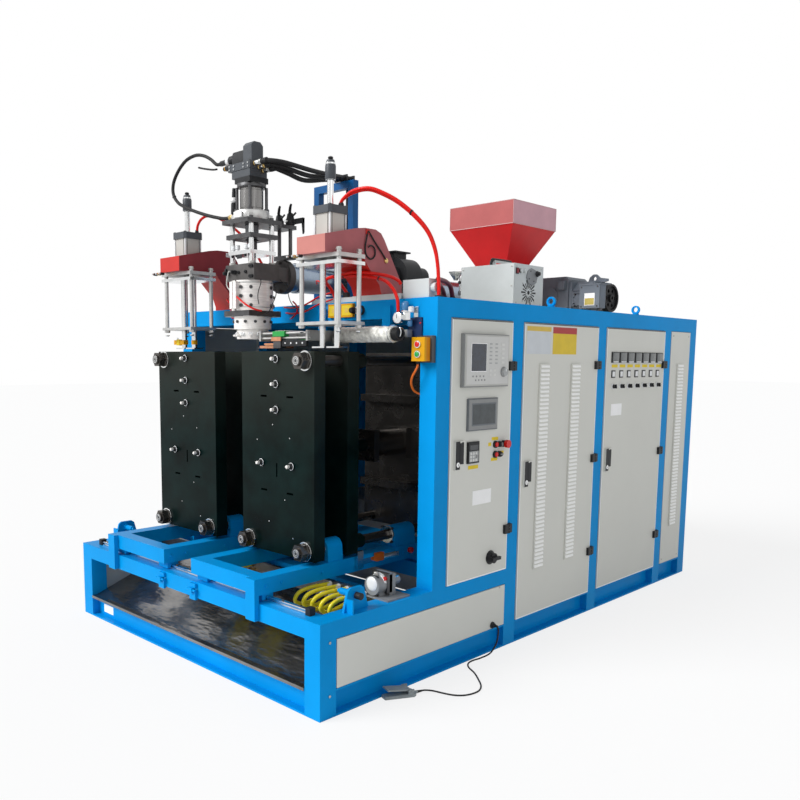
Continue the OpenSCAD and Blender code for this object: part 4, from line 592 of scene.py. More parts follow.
panel = DoorWork("operator_housings")
panel.raised(0, 20, (884, 1247), (1368, 1620), bezel_grey, 5)
panel.raised(20, 25, (889, 1242), (1374, 1616), panel_plastic, 3)
panel.raised(25, 26.5, (898, 1234), (1382, 1609), face_foil, 1.0)
panel.raised(26.5, 28, (930, 1053), (1441, 1577), white_plate, 0.6)
panel.raised(28, 29, (934, 1049), (1445, 1573), dark_glass, 0.4)
panel.knob(1196, 1440, [(26.5, 25), (29, 25), (30, 23)], bezel_grey, 40)
panel.knob(1196, 1440, [(30, 21), (40, 20), (42, 18)], key_grey, 40)
panel.raised(42, 43.5, (1194.5, 1197.5), (1442, 1456), white_plate)
panel.raised(0, 9, (940, 1182), (1158, 1314), bezel_dark, 3)
panel.raised(9, 12, (945, 1177), (1163, 1309), bezel_grey, 1.6)
panel.raised(12, 12.6, (968, 1162), (1182, 1291), bezel_dark, 0.3)
panel.raised(12.6, 13.2, (975, 1155), (1189, 1284), dark_display, 0.3)
panel.raised(0, 8, (948, 1040), (1001, 1106), black_plastic, 5)
panel.raised(8, 10, (952, 1036), (1005, 1102), black_plastic, 1)
panel.raised(10, 10.8, (962, 1026), (1066, 1090), screen_glass, 0.4)
panel.raised(10, 11, (958, 1030), (1009, 1060), key_grey, 0.5)
panel.knob(1012, 1033, [(11, 8), (15, 7.6), (16, 6)], bezel_grey, 24)
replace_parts(panel.done("front_door", "panel_plastic"), "operator_panel")

# %% Lit push buttons, their dark holders and the isolator plate
knobs = DoorWork("operator_buttons")
for z in (1030, 1080):
    knobs.knob(1180, z, [(0, 18), (8, 18), (10, 16.5)], black_plastic, 40)
    knobs.knob(1180, z, [(10, 12), (14, 12), (16, 10), (17, 6)], red_plastic, 32)
    knobs.knob(1212, z, [(0, 15), (13, 15), (16, 13), (20, 12)], black_plastic, 40)
knobs.raised(20, 25, (1202, 1222), (1027, 1033), bezel_grey, 1)
knobs.raised(20, 25, (1209, 1215), (1072, 1088), bezel_grey, 1)
knobs.pipe("x", 1247, 1080, DOOR, DOOR + 14, 17, 9.3, black_plastic)
knobs.knob(1165, 506, [(0, 36), (3, 36), (4, 34)], black_plastic, 48)
knobs.knob(1165, 506, [(4, 27), (12, 26), (14, 24)], black_plastic, 48)
for y, z, w, h in ((1178, 1109, 27, 8), (1135, 1083, 12, 9), (1238, 1035, 18, 9), (1176, 1006, 27, 8),
                   (1003, 981, 40, 9)):
    knobs.raised(0, 0.7, (y - w, y + w), (z - h, z + h), tag_yellow)
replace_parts(knobs.done("front_door", "panel_plastic"), "operator_panel")

# %% Keys in rows
KEYS = DOOR + 26.5             # the programmer's face, where its keys stand

def sideways(thing):
    """Turns a shape that stands up so that it faces along x instead."""
    thing.data.transform(Matrix.Rotation(math.pi / 2, 4, "Y"))
    return thing

lamp_key = sideways(box_shape("lamp_key", 3.2, 10, 1.3, 0.4))
push_key = sideways(box_shape("push_key", 5.5, 13, 2.0, 0.8))
small_key = sideways(box_shape("small_key", 5.5, 7.5, 1.6, 0.6))
dot_key = sideways(shape("dot_key", [(0, 4.6), (1.2, 4.4), (1.6, 3)], 12))
round_key = sideways(shape("round_key", [(0, 6.6), (2.0, 6.4), (2.8, 4.5)], 16))
in_rows("programmer_lamps", lamp_key, (KEYS, 1087, 1482), (0, 0, 18.4), 6, key_grey, "front_door", (0, 46, 0), 2)
in_rows("programmer_keys", push_key, (KEYS, 1186, 1486), (0, 0, 21.5), 5, pale_key, "front_door")
in_rows("programmer_small_keys", small_key, (KEYS, 1087, 1427), (0, 36, 0), 2, pale_key, "front_door", (0, 0, 20), 2)
in_rows("programmer_dots_low", dot_key, (KEYS, 970, 1402), (0, 24, 0), 4, bezel_grey, "front_door")
in_rows("programmer_dots_high", dot_key, (KEYS, 948, 1420), (0, 28, 0), 4, bezel_grey, "front_door")
in_rows("keypad_keys", round_key, (DOOR + 11, 969, 1018), (0, 20, 0), 3, pale_key, "front_door", (0, 0, 16), 3)
print("operator door done")

# %% [markdown]
# ## The heating zones
# Seven controllers, lit buttons and switches share one pitch, so a single set is built and Geometry Nodes repeats
# each of its layers seven times along the door.

# %% Zone controls
FRONT_OF_REAR_DOOR, ZONE_PITCH = 2336, 98
def seven(name, thing, y, z, made, proud=0.0):
    """Repeats one layer of a zone seven times along the rear door."""
    row = in_rows(name, sideways(thing), (DOOR + proud, FRONT_OF_REAR_DOOR + y, z), (0, ZONE_PITCH, 0), 7, made,
                  "rear_door")
    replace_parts(row, "zone_controls")

seven("controller_frames", box_shape("controller_frame", 32, 45, 6.5, 2.5), 45, 1517, black_plastic)
seven("controller_windows", box_shape("controller_window", 25, 37, 1.2, 0.4), 45, 1519, grey_screen, 6.5)
seven("controller_keys", box_shape("controller_key", 3.2, 31, 0.8, 0.2), 45, 1490, lit_white, 7.6)
seven("zone_tags", box_shape("zone_tag", 9, 36, 0.6), 45, 1466, tag_yellow)
seven("button_frames", box_shape("button_frame", 22, 22, 4, 1.5), 30, 1418, black_plastic)
seven("button_faces", box_shape("button_face", 15.5, 15.5, 1.4, 0.6), 30, 1418, lit_white, 3.9)
seven("switch_rings", shape("switch_ring", [(0, 17), (4, 17), (6, 15)], 24), 30, 1345, lit_white)
seven("switch_bodies", shape("switch_body", [(0, 12.5), (10, 12), (11, 10.5)], 20), 30, 1345, black_plastic, 6.0)
seven("switch_bars", box_shape("switch_bar", 12, 4, 8, 1), 36, 1345, black_plastic, 17)
seven("switch_marks", box_shape("switch_mark", 4.5, 1.2, 0.7), 36, 1351, white_plate, 25)

# %% [markdown]
# ## Plates and small metal on the doors
# The doors carry bare plates, lock barrels and panel screws. The plates are thin sheets with a finish that is
# matter than the paint round them, so that they read as stuck on and not as painted fields.

# %% Door plates, lock barrels and panel screws
header_yellow = finish("header_yellow", (0.66, 0.47, 0.10), 0.5, mottle=0.05, patch=20, grain=0.03)
header_red = finish("header_red", (0.42, 0.06, 0.06), 0.5, mottle=0.06, patch=20, grain=0.03)
field_yellow = finish("field_yellow", (0.70, 0.51, 0.05), 0.5, mottle=0.07, patch=12, grain=0.03)
field_white = finish("field_white", (0.60, 0.63, 0.66), 0.5, mottle=0.05, patch=12, grain=0.03)
def plates(name, body, fields):
    made = DoorWork(name)
    for y0, y1, z0, z1, what, proud in fields:
        made.raised(0, proud, (y0, y1), (z0, z1), what)
    return made.done(body, "panel_plastic")
plates("front_door_plate", "front_door", [(1004, 1156, 791, 862, white_plate, 1.2)])
plates("middle_door_plates", "middle_door", [
    (1435, 1665, 1530, 1648, field_white, 0.9), (1435, 1665, 1648, 1672, header_yellow, 0.9),
    (1684, 1928, 1530, 1640, field_yellow, 0.9), (1684, 1928, 1640, 1674, header_red, 0.9)])
plates("rear_door_plate", "rear_door", [(2358, 2490, 1170, 1240, white_plate, 1.0)])
for tag, body, y, z in (("front", "front_door", 873, 980), ("middle", "middle_door", 1462, 836),
                        ("rear", "rear_door", 2328, 840)):
    barrel = DoorWork("lock_barrel_" + tag)
    barrel.raised(0.2, 10.9, (y - 23.8, y + 23.8), (z - 0.8, z + 136.8), door_grey, 3)
    barrel.raised(10.9, 12, (y - 22, y + 10), (z + 1, z + 135), black_plastic, 1)
    barrel.knob(y - 6, z + 24, [(12, 12), (14, 12), (15, 10.5)], bright_steel, 28)
    barrel.raised(15, 15.6, (y - 7.2, y - 4.8), (z + 18, z + 30), black_plastic)
    barrel.done(body, "zinc_plate")
scattered("side_panel_screws", pan_screw, [(SIDE, y, z) for y in (54, 1262) for z in (98, 330)]
          + [(SIDE, y, z) for y in (3180, 3414) for z in (150, 1662)], X_WAY, 6, zinc_plate, "machine")
print("door plates done")

# %% [markdown]
# ## Blow units
# Two red cast arms reach over the moulds and carry an air cylinder each. The arms are cut from thick plate, so an
# outline is drawn from the side and given its width; the flanks take a darker red as painted shade, and the right
# arm a rosy red as painted glare. The cylinder barrel is an extrusion with a rounded ridge at each side, so its
# outline is a flat shape that is pulled up between two bevelled black caps.

# %% Arms of the blow units
HEAD_Y, BLOW_X = 467, 583      # the head and both blow rods stand at this depth, and the rods this far out
ARM = [(345, 1973), (588, 1973), (622, 1930), (700, 1850), (720, 1800), (720, 1780), (862, 1780), (862, 1862),
       (735, 2060), (710, 2090), (672, 2104), (600, 2104), (543, 2096), (345, 2052)]
# Lit and shaded copies of one red: the side reds are darker as painted shade, and the rosy reds carry painted glare.
arm_front_red = finish("arm_front_red", (0.52, 0.024, 0.018), 0.32, mottle=0.08, patch=6, grain=0.2, grain_size=190,
                       shine=0.25)
arm_red_painted_shade = finish("arm_red_painted_shade", (0.25, 0.028, 0.036), 0.4, mottle=0.12, patch=7, grain=0.25, grain_size=230,
                      shine=0.25)
rosy_painted_glare_front = finish("rosy_painted_glare_front", (0.52, 0.20, 0.175), 0.4, mottle=0.06, patch=9, grain=0.2, grain_size=260)
rosy_painted_glare_side = finish("rosy_painted_glare_side", (0.40, 0.12, 0.13), 0.42, mottle=0.10, patch=8, grain=0.2, grain_size=260)
def arm(name, x, front, side):
    """One arm; its front face and flanks take lit and shaded copies of one red as painted light, and the slope under
    its nose the lit front red.
    """
    made = Workpiece(name)
    made.plate(ARM, "x", x - 95, x + 95, side, 3)
    for face in made.bm.faces:
        c = face.calc_center_median()
        if c.y < at(0, 349, 0).y and face.calc_area() > 0.002:
            made.paint([face], front)
        elif c.y < at(0, 725, 0).y and c.z < 1.96 and abs(face.normal.x) < 0.5:
            made.paint([face], arm_front_red)
    return made.done("machine", "red_paint", 30)

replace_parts(arm("arm_left", -BLOW_X, arm_front_red, arm_red_painted_shade), "blow_arms")
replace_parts(arm("arm_right", BLOW_X, rosy_painted_glare_front, rosy_painted_glare_side), "blow_arms")

# %% Air cylinders with their caps and tie rods
slate = finish("slate", (0.055, 0.062, 0.072), 0.42, mottle=0.12, patch=20, grain=0.15, grain_size=420, shine=0.35)
def rounded_square(half, r, steps=8):
    """The section of the barrel: flat sides and round corners."""
    return [(sx * (half - r) + r * math.cos(a), sy * (half - r) + r * math.sin(a))
            for sx, sy, first in ((1, 1, 0), (-1, 1, 90), (-1, -1, 180), (1, -1, 270))
            for a in [math.radians(first + 90 * k / steps) for k in range(steps + 1)]]

CUT_SQUARE = [(-62, -50), (-50, -62), (50, -62), (62, -50), (62, 50), (50, 62), (-50, 62), (-62, 50)]
for tag, x in (("left", -BLOW_X), ("right", BLOW_X)):
    made = Workpiece("air_cylinder_" + tag)
    for z0, z1 in ((1987, 2024), (2158, 2193)):
        made.plate([(x + u, HEAD_Y + v) for u, v in CUT_SQUARE], "z", z0, z1, slate, 2)
        made.rod("z", x, HEAD_Y, z1 - 1, z1 + 6, 24, slate, 40, 2)
    made.plate([(x + u, HEAD_Y + v) for u, v in rounded_square(54, 20)], "z", 2024, 2158, cylinder_alloy)
    for sx in (-1, 1):
        for sy in (-1, 1):
            made.rod("z", x + sx * 49, HEAD_Y + sy * 49, 2020, 2162, 5.6, lit_white, 18)
            for u, v in ((54.2, 40), (40, 54.2)):
                made.rod("z", x + sx * u, HEAD_Y + sy * v, 2022, 2160, 1.2, dark_steel, 8)
            made.turned("z", x + sx * 50, HEAD_Y + sy * 50, [(2192, 8), (2197, 8), (2198, 6)], dark_steel, 6)
    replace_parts(made.done("machine", "cylinder_alloy"), "blow_cylinders")

# %% [markdown]
# ## Guide frames and rods of the blow units
# Three steel plates on four posts keep the moving rod straight. The plates are CAD solids; their nuts and screws
# are scattered over their places by Geometry Nodes.

# %% Nuts, screws and fittings of the guides
nut_places, screw_places = [], []
for x in (-BLOW_X, BLOW_X):
    for sx in (-125, 125):
        for sy in (-65, 65):
            nut_places.append((x + sx, HEAD_Y + sy, 1985))
            screw_places.append((x + sx, HEAD_Y + sy, 1628))
    for sx in (-60, 0, 60):
        screw_places.append((x + sx, HEAD_Y - 86, 1933))
scattered("guide_post_nuts", hex_bolt, nut_places, UP, 13, zinc_plate, "machine")
scattered("guide_low_nuts", dome, screw_places[:4] + screw_places[7:11], (0, 0, -1), 12, bright_steel, "machine")
fittings = Workpiece("blow_unit_fittings")
for x in (-BLOW_X, BLOW_X):
    for u in (-128, -92, -58):
        fittings.rod("y", 1965, x + u, 321, 345, 7.5, black_plastic if u != -92 else brass, 16, 1.5)
        fittings.rod("y", 1965, x + u, 311, 321, 5, bright_steel, 16, 1)
    fittings.rod("z", x, HEAD_Y, 1941, 1987, 20, plate_steel, 32, 2)
    fittings.block((x - 132, x + 120), (400, 440), (1966, 1972.6), plate_steel, 1)
fittings.done("machine", "bright_steel")
print("guide screws:", len(screw_places))

# %% Stops and tips of the moving rods
for tag, x in (("left", -BLOW_X), ("right", BLOW_X)):
    made = Workpiece("blow_stop_" + tag)
    made.turned("z", x, HEAD_Y, [(2311.4, 19), (2313, 23), (2318, 25), (2374, 25), (2396, 19), (2401, 17.4),
                                 (2402, 14)], slate, 44)
    made.turned("z", x, HEAD_Y, [(2402, 10), (2406, 10), (2407, 12), (2413, 12), (2414, 10.4), (2417.8, 7)],
                black_rubber, 24)
    made.done(tag + "_blow_unit", "black_steel")
clips = Workpiece("arm_clips")
clips.block((678.2, 684), (604, 624), (2076, 2098), arm_front_red, 2)
clips.turned("x", 745, 1966, [(678.2, 12), (682, 12), (684, 9)], brass, 20)
clips.block((-488, -484.8), (660, 690), (2072, 2096), white_plate, 1)
clips.turned("x", 675, 2084, [(-485, 6), (-484.2, 6)], black_plastic, 20)
clips.done("machine", "red_paint")
hose("arm_cable", [[(684, 614, 2090), (684, 604, 2052), (683, 597, 2018), (683, 604, 1982), (683, 634, 1964),
                    (683, 662, 1982), (684, 660, 2013), (688, 632, 2026), (690, 610, 2016)],
                   [(684, 618, 2090), (684, 661, 2045), (683, 707, 2004), (683, 740, 1970)]], 3.6, black_rubber,
     slot="cable_rubber")
print("blow units done")

# %% [markdown]
# ## The head's cylinder and its valve
# A round cylinder moves the core of the die up and down, and a servo valve sits on its lid. Both are built from
# turned and milled shapes: the flange is bright, four dark posts hold the lid, and the valve is a stack of blocks
# with a motor body on its left, a white plug and a row of hose fittings on its right.

# %% Programming cylinder
cyl = Workpiece("programming_cylinder_parts")
cyl.turned("z", 0, HEAD_Y, [(2195, 88), (2200, 90), (2236, 90), (2240, 87)], plate_steel, 64)
cyl.block((-75, 75), (392, 542), (2194.3, 2222), plate_steel, 5)
cyl.turned("z", 0, HEAD_Y, [(2240, 58), (2254, 58), (2256, 60), (2342, 60), (2344, 58), (2354, 58)], valve_steel, 64)
cyl.turned("z", 0, HEAD_Y, [(2354, 70), (2358, 74), (2372, 74), (2376, 71)], dark_steel, 64)
for sx in (-1, 1):
    for sy in (-1, 1):
        cyl.rod("z", sx * 53, HEAD_Y + sy * 53, 2238, 2358, 8, dark_steel, 24, 1)
        cyl.turned("z", sx * 53, HEAD_Y + sy * 53, [(2240, 14), (2252, 14), (2253, 12)], dark_steel, 6)
cyl.block((-30, 34), (374, 378), (2203, 2232), white_plate)
cyl.turned("z", -95, 427, [(2234, 16), (2238, 17), (2288, 16), (2292, 12)], black_plastic, 32)
cyl.turned("z", -95, 427, [(2292, 11), (2300, 20), (2314, 20), (2317, 13)], white_plate, 32)
cyl.turned("z", -95, 427, [(2317, 12), (2340, 11), (2364, 9)], black_plastic, 28)
cyl.turned("x", 427, 2222, [(-135, 12), (-131, 13), (-112, 13), (-108, 11)], brass, 6)
cyl.turned("x", 427, 2222, [(-108, 9), (-86, 9)], black_plastic, 20)
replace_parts(cyl.done("machine", "grey_metal"), "programming_cylinder")

# %% Servo valve
valve = Workpiece("servo_valve_parts")
valve.block((-62, 60), (407, 527), (2376.3, 2404), black_plastic, 3)
valve.block((-92, 56), (412, 522), (2404, 2442), slate, 4)
valve.block((-120, 60), (409, 525), (2442, 2478), slate, 5)
valve.plate([(438, 2478), (438, 2530), (446, 2548), (488, 2548), (496, 2530), (496, 2478)], "x", -125, 40,
            black_plastic, 4)
valve.plate([(430, 2478), (430, 2560), (447, 2577), (487, 2577), (504, 2560), (504, 2478)], "x", -20, 48, slate, 6)
valve.turned("x", HEAD_Y, 2518, [(-172, 20), (-168, 24), (-128, 24), (-124, 21)], black_plastic, 36)
valve.turned("x", HEAD_Y, 2518, [(-200, 15), (-196, 22), (-176, 22), (-172, 18)], lit_white, 36)
valve.turned("x", HEAD_Y, 2518, [(-262, 11), (-256, 14), (-222, 14), (-204, 18), (-200, 18)], black_plastic, 32)
valve.turned("x", 446, 2478, [(-205, 8), (-200, 11), (-186, 11), (-182, 14), (-150, 14), (-124, 12)], black_plastic,
             28)
valve.turned("x", 446, 2478, [(-190, 11.5), (-188, 12.5), (-180, 12.5), (-178, 11.5)], yellow_plastic, 28)
for i in range(3):
    y, z = 439 + 28 * i, 2466 - 14 * i
    valve.turned("x", y, z, [(56, 12), (66, 12), (68, 10), (72, 10)], brass, 6)
    valve.turned("x", y, z, [(72, 11), (74, 13.5), (96, 13.5), (100, 12.5)], bright_steel, 28)
    valve.turned("x", y, z, [(100, 13.8), (118, 13.8), (122, 12.5)], brass if i == 1 else zinc_plate, 6)
valve.turned("z", -72, 447, [(2362, 8), (2366, 13), (2398, 13), (2404, 10)], bright_steel, 28)
valve.turned("z", 40, 500, [(2372, 8), (2376, 12), (2398, 12), (2404, 9)], black_plastic, 28)
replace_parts(valve.done("machine", "dark_plastic"), "servo_valve")
valve_screws = [(x, y, 2478) for x in (-108, 48) for y in (418, 516)]
scattered("valve_screws", socket_screw, valve_screws, UP, 6, dark_steel, "machine")
front_screws = [(x, 409, z) for x in (-106, -70, 10, 46) for z in (2452, 2468)]
scattered("valve_front_screws", socket_screw, front_screws, Y_BACK, 4.5, bright_steel, "machine")

# %% [markdown]
# ## The die head
# The clamped head body is full of set screws: columns of dark sockets on both halves, a ring of them on the
# bright ring below, and bolts that press the die sideways. They all stand on known circles, so their places are
# worked out with sines and cosines and a node tree puts the screws on them.

# %% Head screws, rings and heater leads
def round_the_head(name, thing, angles, heights, reach, size, made):
    """Screws that point out from the head's axis; angles count from the front."""
    facings = [(math.sin(math.radians(a)), -math.cos(math.radians(a)), 0) for a in angles for z in heights]
    places = [(reach * x, HEAD_Y + reach * y, heights[i % len(heights)]) for i, (x, y, z) in enumerate(facings)]
    scattered(name, thing, places, facings, size, made, "machine")

round_the_head("ring_set_screws", socket_screw, range(0, 360, 30), (1685,), 96, 7.5, dark_steel)
round_the_head("die_bolts", hex_bolt, range(15, 375, 30), (1622,), 80, 11, bright_steel)
round_the_head("head_body_screws", socket_screw, (-78, -52, 20, 48, 112, 150, 200, 238), (1766, 1812, 1856), 106, 9,
               dark_steel)
block_bolts = [(x, 386, 1932) for x in (-92, -48, -6, 52)] + [(x, 386, z) for x in (88, 104) for z in (1908, 1958)]
scattered("head_block_bolts", socket_screw, block_bolts, Y_BACK, 8.5, black_plastic, "machine")
head = Workpiece("head_rings")
head.pipe("z", 0, HEAD_Y, 1710.3, 1716, 112, 60, dark_steel, 64)
head.block((-104, 104), (363, 571), (1712, 1739.5), dark_steel, 2)
head.block((-3, 3), (358, 362), (1740, 1890), black_plastic)
for z in (1757, 1880):
    head.pipe("z", 0, HEAD_Y, z - 3, z + 3, 108.6, 90, plate_steel, 64)
head.turned("y", 1950, -112, [(378, 7), (380, 8), (386, 8)], black_plastic, 20)
for x, z in ((-96, 1931), (-34, 1934)):
    head.turned("y", z, x, [(352, 5), (356, 9), (372, 9), (376, 11), (386, 11)], black_plastic, 24)
head.done("machine", "black_steel")
lead = [(-34, 354, 1934), (-36, 344, 1934), (-40, 340, 1912), (-52, 342, 1880), (-50, 346, 1858), (-15, 348, 1831),
        (40, 348, 1797), (95, 356, 1763), (126, 384, 1742), (132, 420, 1736)]
hose("head_lead_pale", [lead[:6]], 3, panel_plastic)
hose("head_lead_red", [lead[5:]], 4.6, red_hose)
hose("head_thin_wires", [
    [(128, 420, 1890), (140, 410, 1870), (134, 400, 1832), (126, 402, 1800), (112, 420, 1770)],
    [(120, 520, 1860), (150, 500, 1820), (158, 470, 1770), (150, 450, 1730), (120, 440, 1716)],
    [(110, 560, 1900), (160, 560, 1860), (190, 560, 1790), (230, 570, 1750), (300, 600, 1742)]], 2.2, black_rubber)

# %% Plates, posts and connectors above the head
upper = Workpiece("head_upper_details")
for sx in (-1, 1):
    for y in (401, 533):
        upper.rod("z", sx * 78, y, 1974, 2100, 13, bright_steel, 32, 1)
        upper.rod("z", sx * 78, y, 2122, 2172, 13, bright_steel, 32, 1)
        upper.turned("z", sx * 78, y, [(1973, 17), (1984, 17), (1985, 15)], zinc_plate, 6)
upper.rod("z", 0, HEAD_Y, 2042, 2100, 26, dark_steel, 36, 2)
upper.rod("z", 0, HEAD_Y, 2122, 2172, 34, cast_grey, 40, 2)
for sx in (-1, 1):
    upper.turned("z", sx * 45, 687, [(2194, 20), (2198, 25), (2224, 25), (2230, 20), (2250, 17), (2256, 12)],
                 black_plastic, 24)
    upper.bent([(sx * 45, 687, 2244), (sx * 45 + 8, 676, 2262), (sx * 45 + 30, 662, 2284), (sx * 45 + 44, 654, 2290)],
               [8, 8, 7, 6], black_plastic, 14)
    upper.rod("y", 2212, sx * 45, 650, 664, 9, bright_steel, 20, 1)
upper.block((68, 150), (680, 694), (2196, 2222), black_plastic, 3)
upper.plate([(680, 2222), (694, 2222), (694, 2150), (690, 2140)], "x", 138, 150, black_plastic, 1)
upper.done("machine", "bright_steel")
core = Workpiece("core_plate_details")
for x in (-66, -30, 40, 74):
    core.turned("z", x, 398, [(2040, 8), (2048, 8), (2049, 12), (2068, 12), (2070, 9)], lit_white, 24)
    core.turned("z", x, 392, [(2009, 5), (2012, 7), (2021, 7)], black_plastic, 20)
core.block((-20, 20), (384, 386.2), (2000, 2021), black_plastic, 1)
core.done("core_rod", "bright_steel")
print("head done")

# %% [markdown]
# ## Air and oil hoses
# Polyurethane air hose is thin, glossy and red; the oil hoses are thick black rubber with crimped ends; the ones
# under the moulds are yellow. Each is a smooth line between two fittings, so Geometry Nodes sweep a circle along
# it and can slip dark bands over it where the real hose is tied.

# %% Red air hoses
def pipework(name, routes, r, made, **settings):
    """A hose that takes its part of the drawn hoses' place."""
    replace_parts(hose(name, routes, r, made, **settings), "hoses")

arch = [(624, 500, 2196), (624, 500, 2206), (640, 502, 2228), (685, 510, 2256), (762, 530, 2262), (820, 560, 2240),
        (884, 600, 2198), (948, 640, 2135), (990, 680, 2068), (1006, 712, 1995), (1005, 736, 1920), (1002, 748, 1850),
        (1001, 752, 1800), (1001, 753, 1782)]
pipework("air_arch_right", [[(x - (8 + d if i < 3 else d), y + d, z - d * 0.5 * (2 < i < 10)) for i,
                             (x, y, z) in enumerate(arch)] for d in (0, 11)], 7.4, red_hose, spacing=330, width=9,
         band=black_rubber)
pipework("air_arch_left", [[(-540, 500, 2198), (-538, 500, 2212), (-527, 500, 2240), (-498, 505, 2268),
                            (-468, 530, 2282), (-430, 600, 2262), (-380, 700, 2180), (-340, 800, 2040),
                            (-330, 860, 1900), (-330, 870, 1815), (-330, 870, 1800)]], 7.4, red_hose)
pipework("air_low_right", [[(400, 760, 1828), (402, 735, 1850), (415, 690, 1878), (450, 645, 1890), (500, 628, 1893),
                            (580, 622, 1893), (660, 630, 1885), (750, 650, 1866), (800, 660, 1826), (824, 668, 1775),
                            (826, 672, 1730), (826, 674, 1706)]], 8.2, red_hose, spacing=170, width=7,
         band=black_rubber)
pipework("air_low_loops", [[(462, 610, 1890), (500, 612, 1902), (600, 610, 1908), (680, 640, 1900), (735, 700, 1888),
                            (760, 740, 1870), (770, 752, 1850)],
                           [(356, 720, 1806), (352, 690, 1850), (372, 640, 1876), (410, 612, 1890), (462, 606, 1896)]],
         8.2, red_hose)
pipework("air_thin_loops", [
         [(-20, 700, 1772), (60, 690, 1766), (140, 682, 1770), (210, 680, 1790), (270, 690, 1815), (330, 712, 1832)],
         [(-10, 704, 1742), (70, 694, 1736), (170, 684, 1744), (260, 690, 1775), (340, 720, 1800)],
         [(20, 708, 1710), (60, 690, 1716), (100, 684, 1742), (90, 690, 1776), (50, 700, 1800)],
         [(250, 690, 1880), (280, 660, 1890), (330, 640, 1880), (345, 650, 1850), (320, 680, 1830), (290, 700, 1800)],
         [(-430, 640, 1842), (-400, 600, 1822), (-340, 610, 1790), (-250, 640, 1772), (-180, 690, 1750)],
         [(-470, 690, 1790), (-430, 640, 1740), (-360, 640, 1716), (-280, 690, 1712)]],
         4.2, red_hose, sides=10)
ends = Workpiece("air_hose_fittings")
for x in (616, 624.5, -540):
    ends.turned("z", x, 500, [(2193, 11), (2203, 11), (2205, 9), (2210, 9)], black_plastic, 6)
ends.turned("z", -330, 870, [(1783, 12), (1800, 12), (1803, 9), (1812, 9)], black_plastic, 6)
ends.block((985, 1017), (742, 766), (1780.3, 1788), black_rubber, 3)
ends.block((385, 415), (745, 765), (1806, 1832), black_plastic, 4)
ends.turned("z", 826, 674, [(1700, 9), (1706, 11), (1716, 11), (1718, 9)], black_plastic, 6)
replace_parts(ends.done("machine", "hose_rubber"), "hoses")

# %% Black oil hoses
oil = [[(96, 439 + 28 * i, 2466 - 14 * i), (120, 439 + 28 * i, 2466 - 14 * i), (150, 439 + 28 * i, 2466 - 14 * i),
        (205 - 20 * i, 509 + 28 * i, 2458 - 18 * i), (195 - 28 * i, 700, 2452 - 20 * i),
        (150 - 28 * i, 880, 2464 - 8 * i), (100 - 28 * i, 1022, 2481), (98 - 28 * i, 1092, 2478),
        (94 - 26 * i, 1114, 2440), (90 - 25 * i, 1116, 2300), (94 - 25 * i, 1118, 2130), (150 - 25 * i, 1146, 2000),
        (160 - 25 * i, 1160, 1900), (160 - 25 * i, 1160, 1806)] for i in range(3)]
pipework("oil_hoses", oil, 12, black_rubber, sides=18, steps=8)
loop = [(-262, 467, 2518), (-300, 467, 2522), (-350, 466, 2556), (-410, 462, 2584), (-480, 456, 2596),
        (-560, 448, 2580), (-626, 440, 2532), (-660, 430, 2470), (-655, 425, 2410), (-610, 424, 2360),
        (-540, 424, 2326), (-440, 424, 2290), (-320, 425, 2254), (-210, 427, 2228), (-160, 427, 2222),
        (-130, 427, 2222)]
pipework("signal_cable_loop", [loop], 9, black_rubber, sides=18, steps=8, spacing=420, width=14, band=black_plastic)
pipework("signal_cable_spare", [[(-268, 446, 2489), (-300, 448, 2492), (-340, 452, 2500), (-400, 455, 2514),
                                 (-452, 458, 2528)]], 5, black_rubber)
ties = Workpiece("oil_hose_fittings")
for i in range(3):
    ties.turned("z", 160 - 25 * i, 1160, [(1783, 12.4), (1812, 12.4), (1814, 13.6), (1840, 13.6)], zinc_plate, 6)
    ties.turned("x", 439 + 28 * i, 2466 - 14 * i, [(118, 13.4), (122, 14.6), (158, 14.6), (160, 13)], black_rubber, 24)
ties.block((20, 118), (1030, 1038), (2466, 2498), black_plastic, 2)
ties.block((20, 118), (1084, 1092), (2466, 2498), black_plastic, 2)
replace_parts(ties.done("machine", "hose_rubber"), "hoses")

# %% Yellow clamp hoses and their manifold
bow = [(0, 442, 375), (0, 400, 365), (0, 330, 351), (10, 260, 359), (20, 225, 387), (30, 240, 421), (34, 300, 433),
       (36, 380, 431), (36, 442, 427)]
pipework("clamp_hoses", [[(x + 590 + 58 * i, y, z) for x, y, z in bow] for i in range(5)], 9.4, yellow_hose,
                      sides=16, spacing=95, width=5, band=tag_yellow)
fold = Workpiece("hose_manifold")
fold.block((570, 929), (438, 462), (360, 440), bar_steel, 4)
for i in range(5):
    for x, z in ((590 + 58 * i, 375), (626 + 58 * i, 427)):
        fold.turned("y", z, x, [(408, 10.5), (410, 11.4), (424, 11.4), (426, 13), (438.5, 13)], lit_white, 6)
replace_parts(fold.done("machine", "grey_metal"), "hoses")
CARRIAGE_HOSES = (-40, -10, 210, 240, 300)
under = [[(x, 470, 400), (x - 6, 420, 396), (x - 10, 340, 402), (x - 4, 260, 418), (x + 4, 200, 424),
          (x + 14, 170, 408), (x + 18, 190, 384), (x + 16, 260, 366), (x + 12, 360, 360),
          (x + 8, 452, 362)] for x in CARRIAGE_HOSES]
pipework("carriage_hoses", under, 9.4, yellow_hose, sides=14, spacing=120, width=5, band=tag_yellow)
rack = Workpiece("carriage_hose_rack")
rack.block((-929, 670), (470, 486), (340, 418), dark_steel, 3)
for x in CARRIAGE_HOSES:
    rack.turned("y", 400, x, [(452, 11), (458, 13), (470, 13)], brass, 6)
    rack.turned("y", 362, x + 8, [(444, 11), (450, 13), (470, 13)], brass, 6)
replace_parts(rack.done("machine", "grey_metal"), "hoses")
print("hoses done")

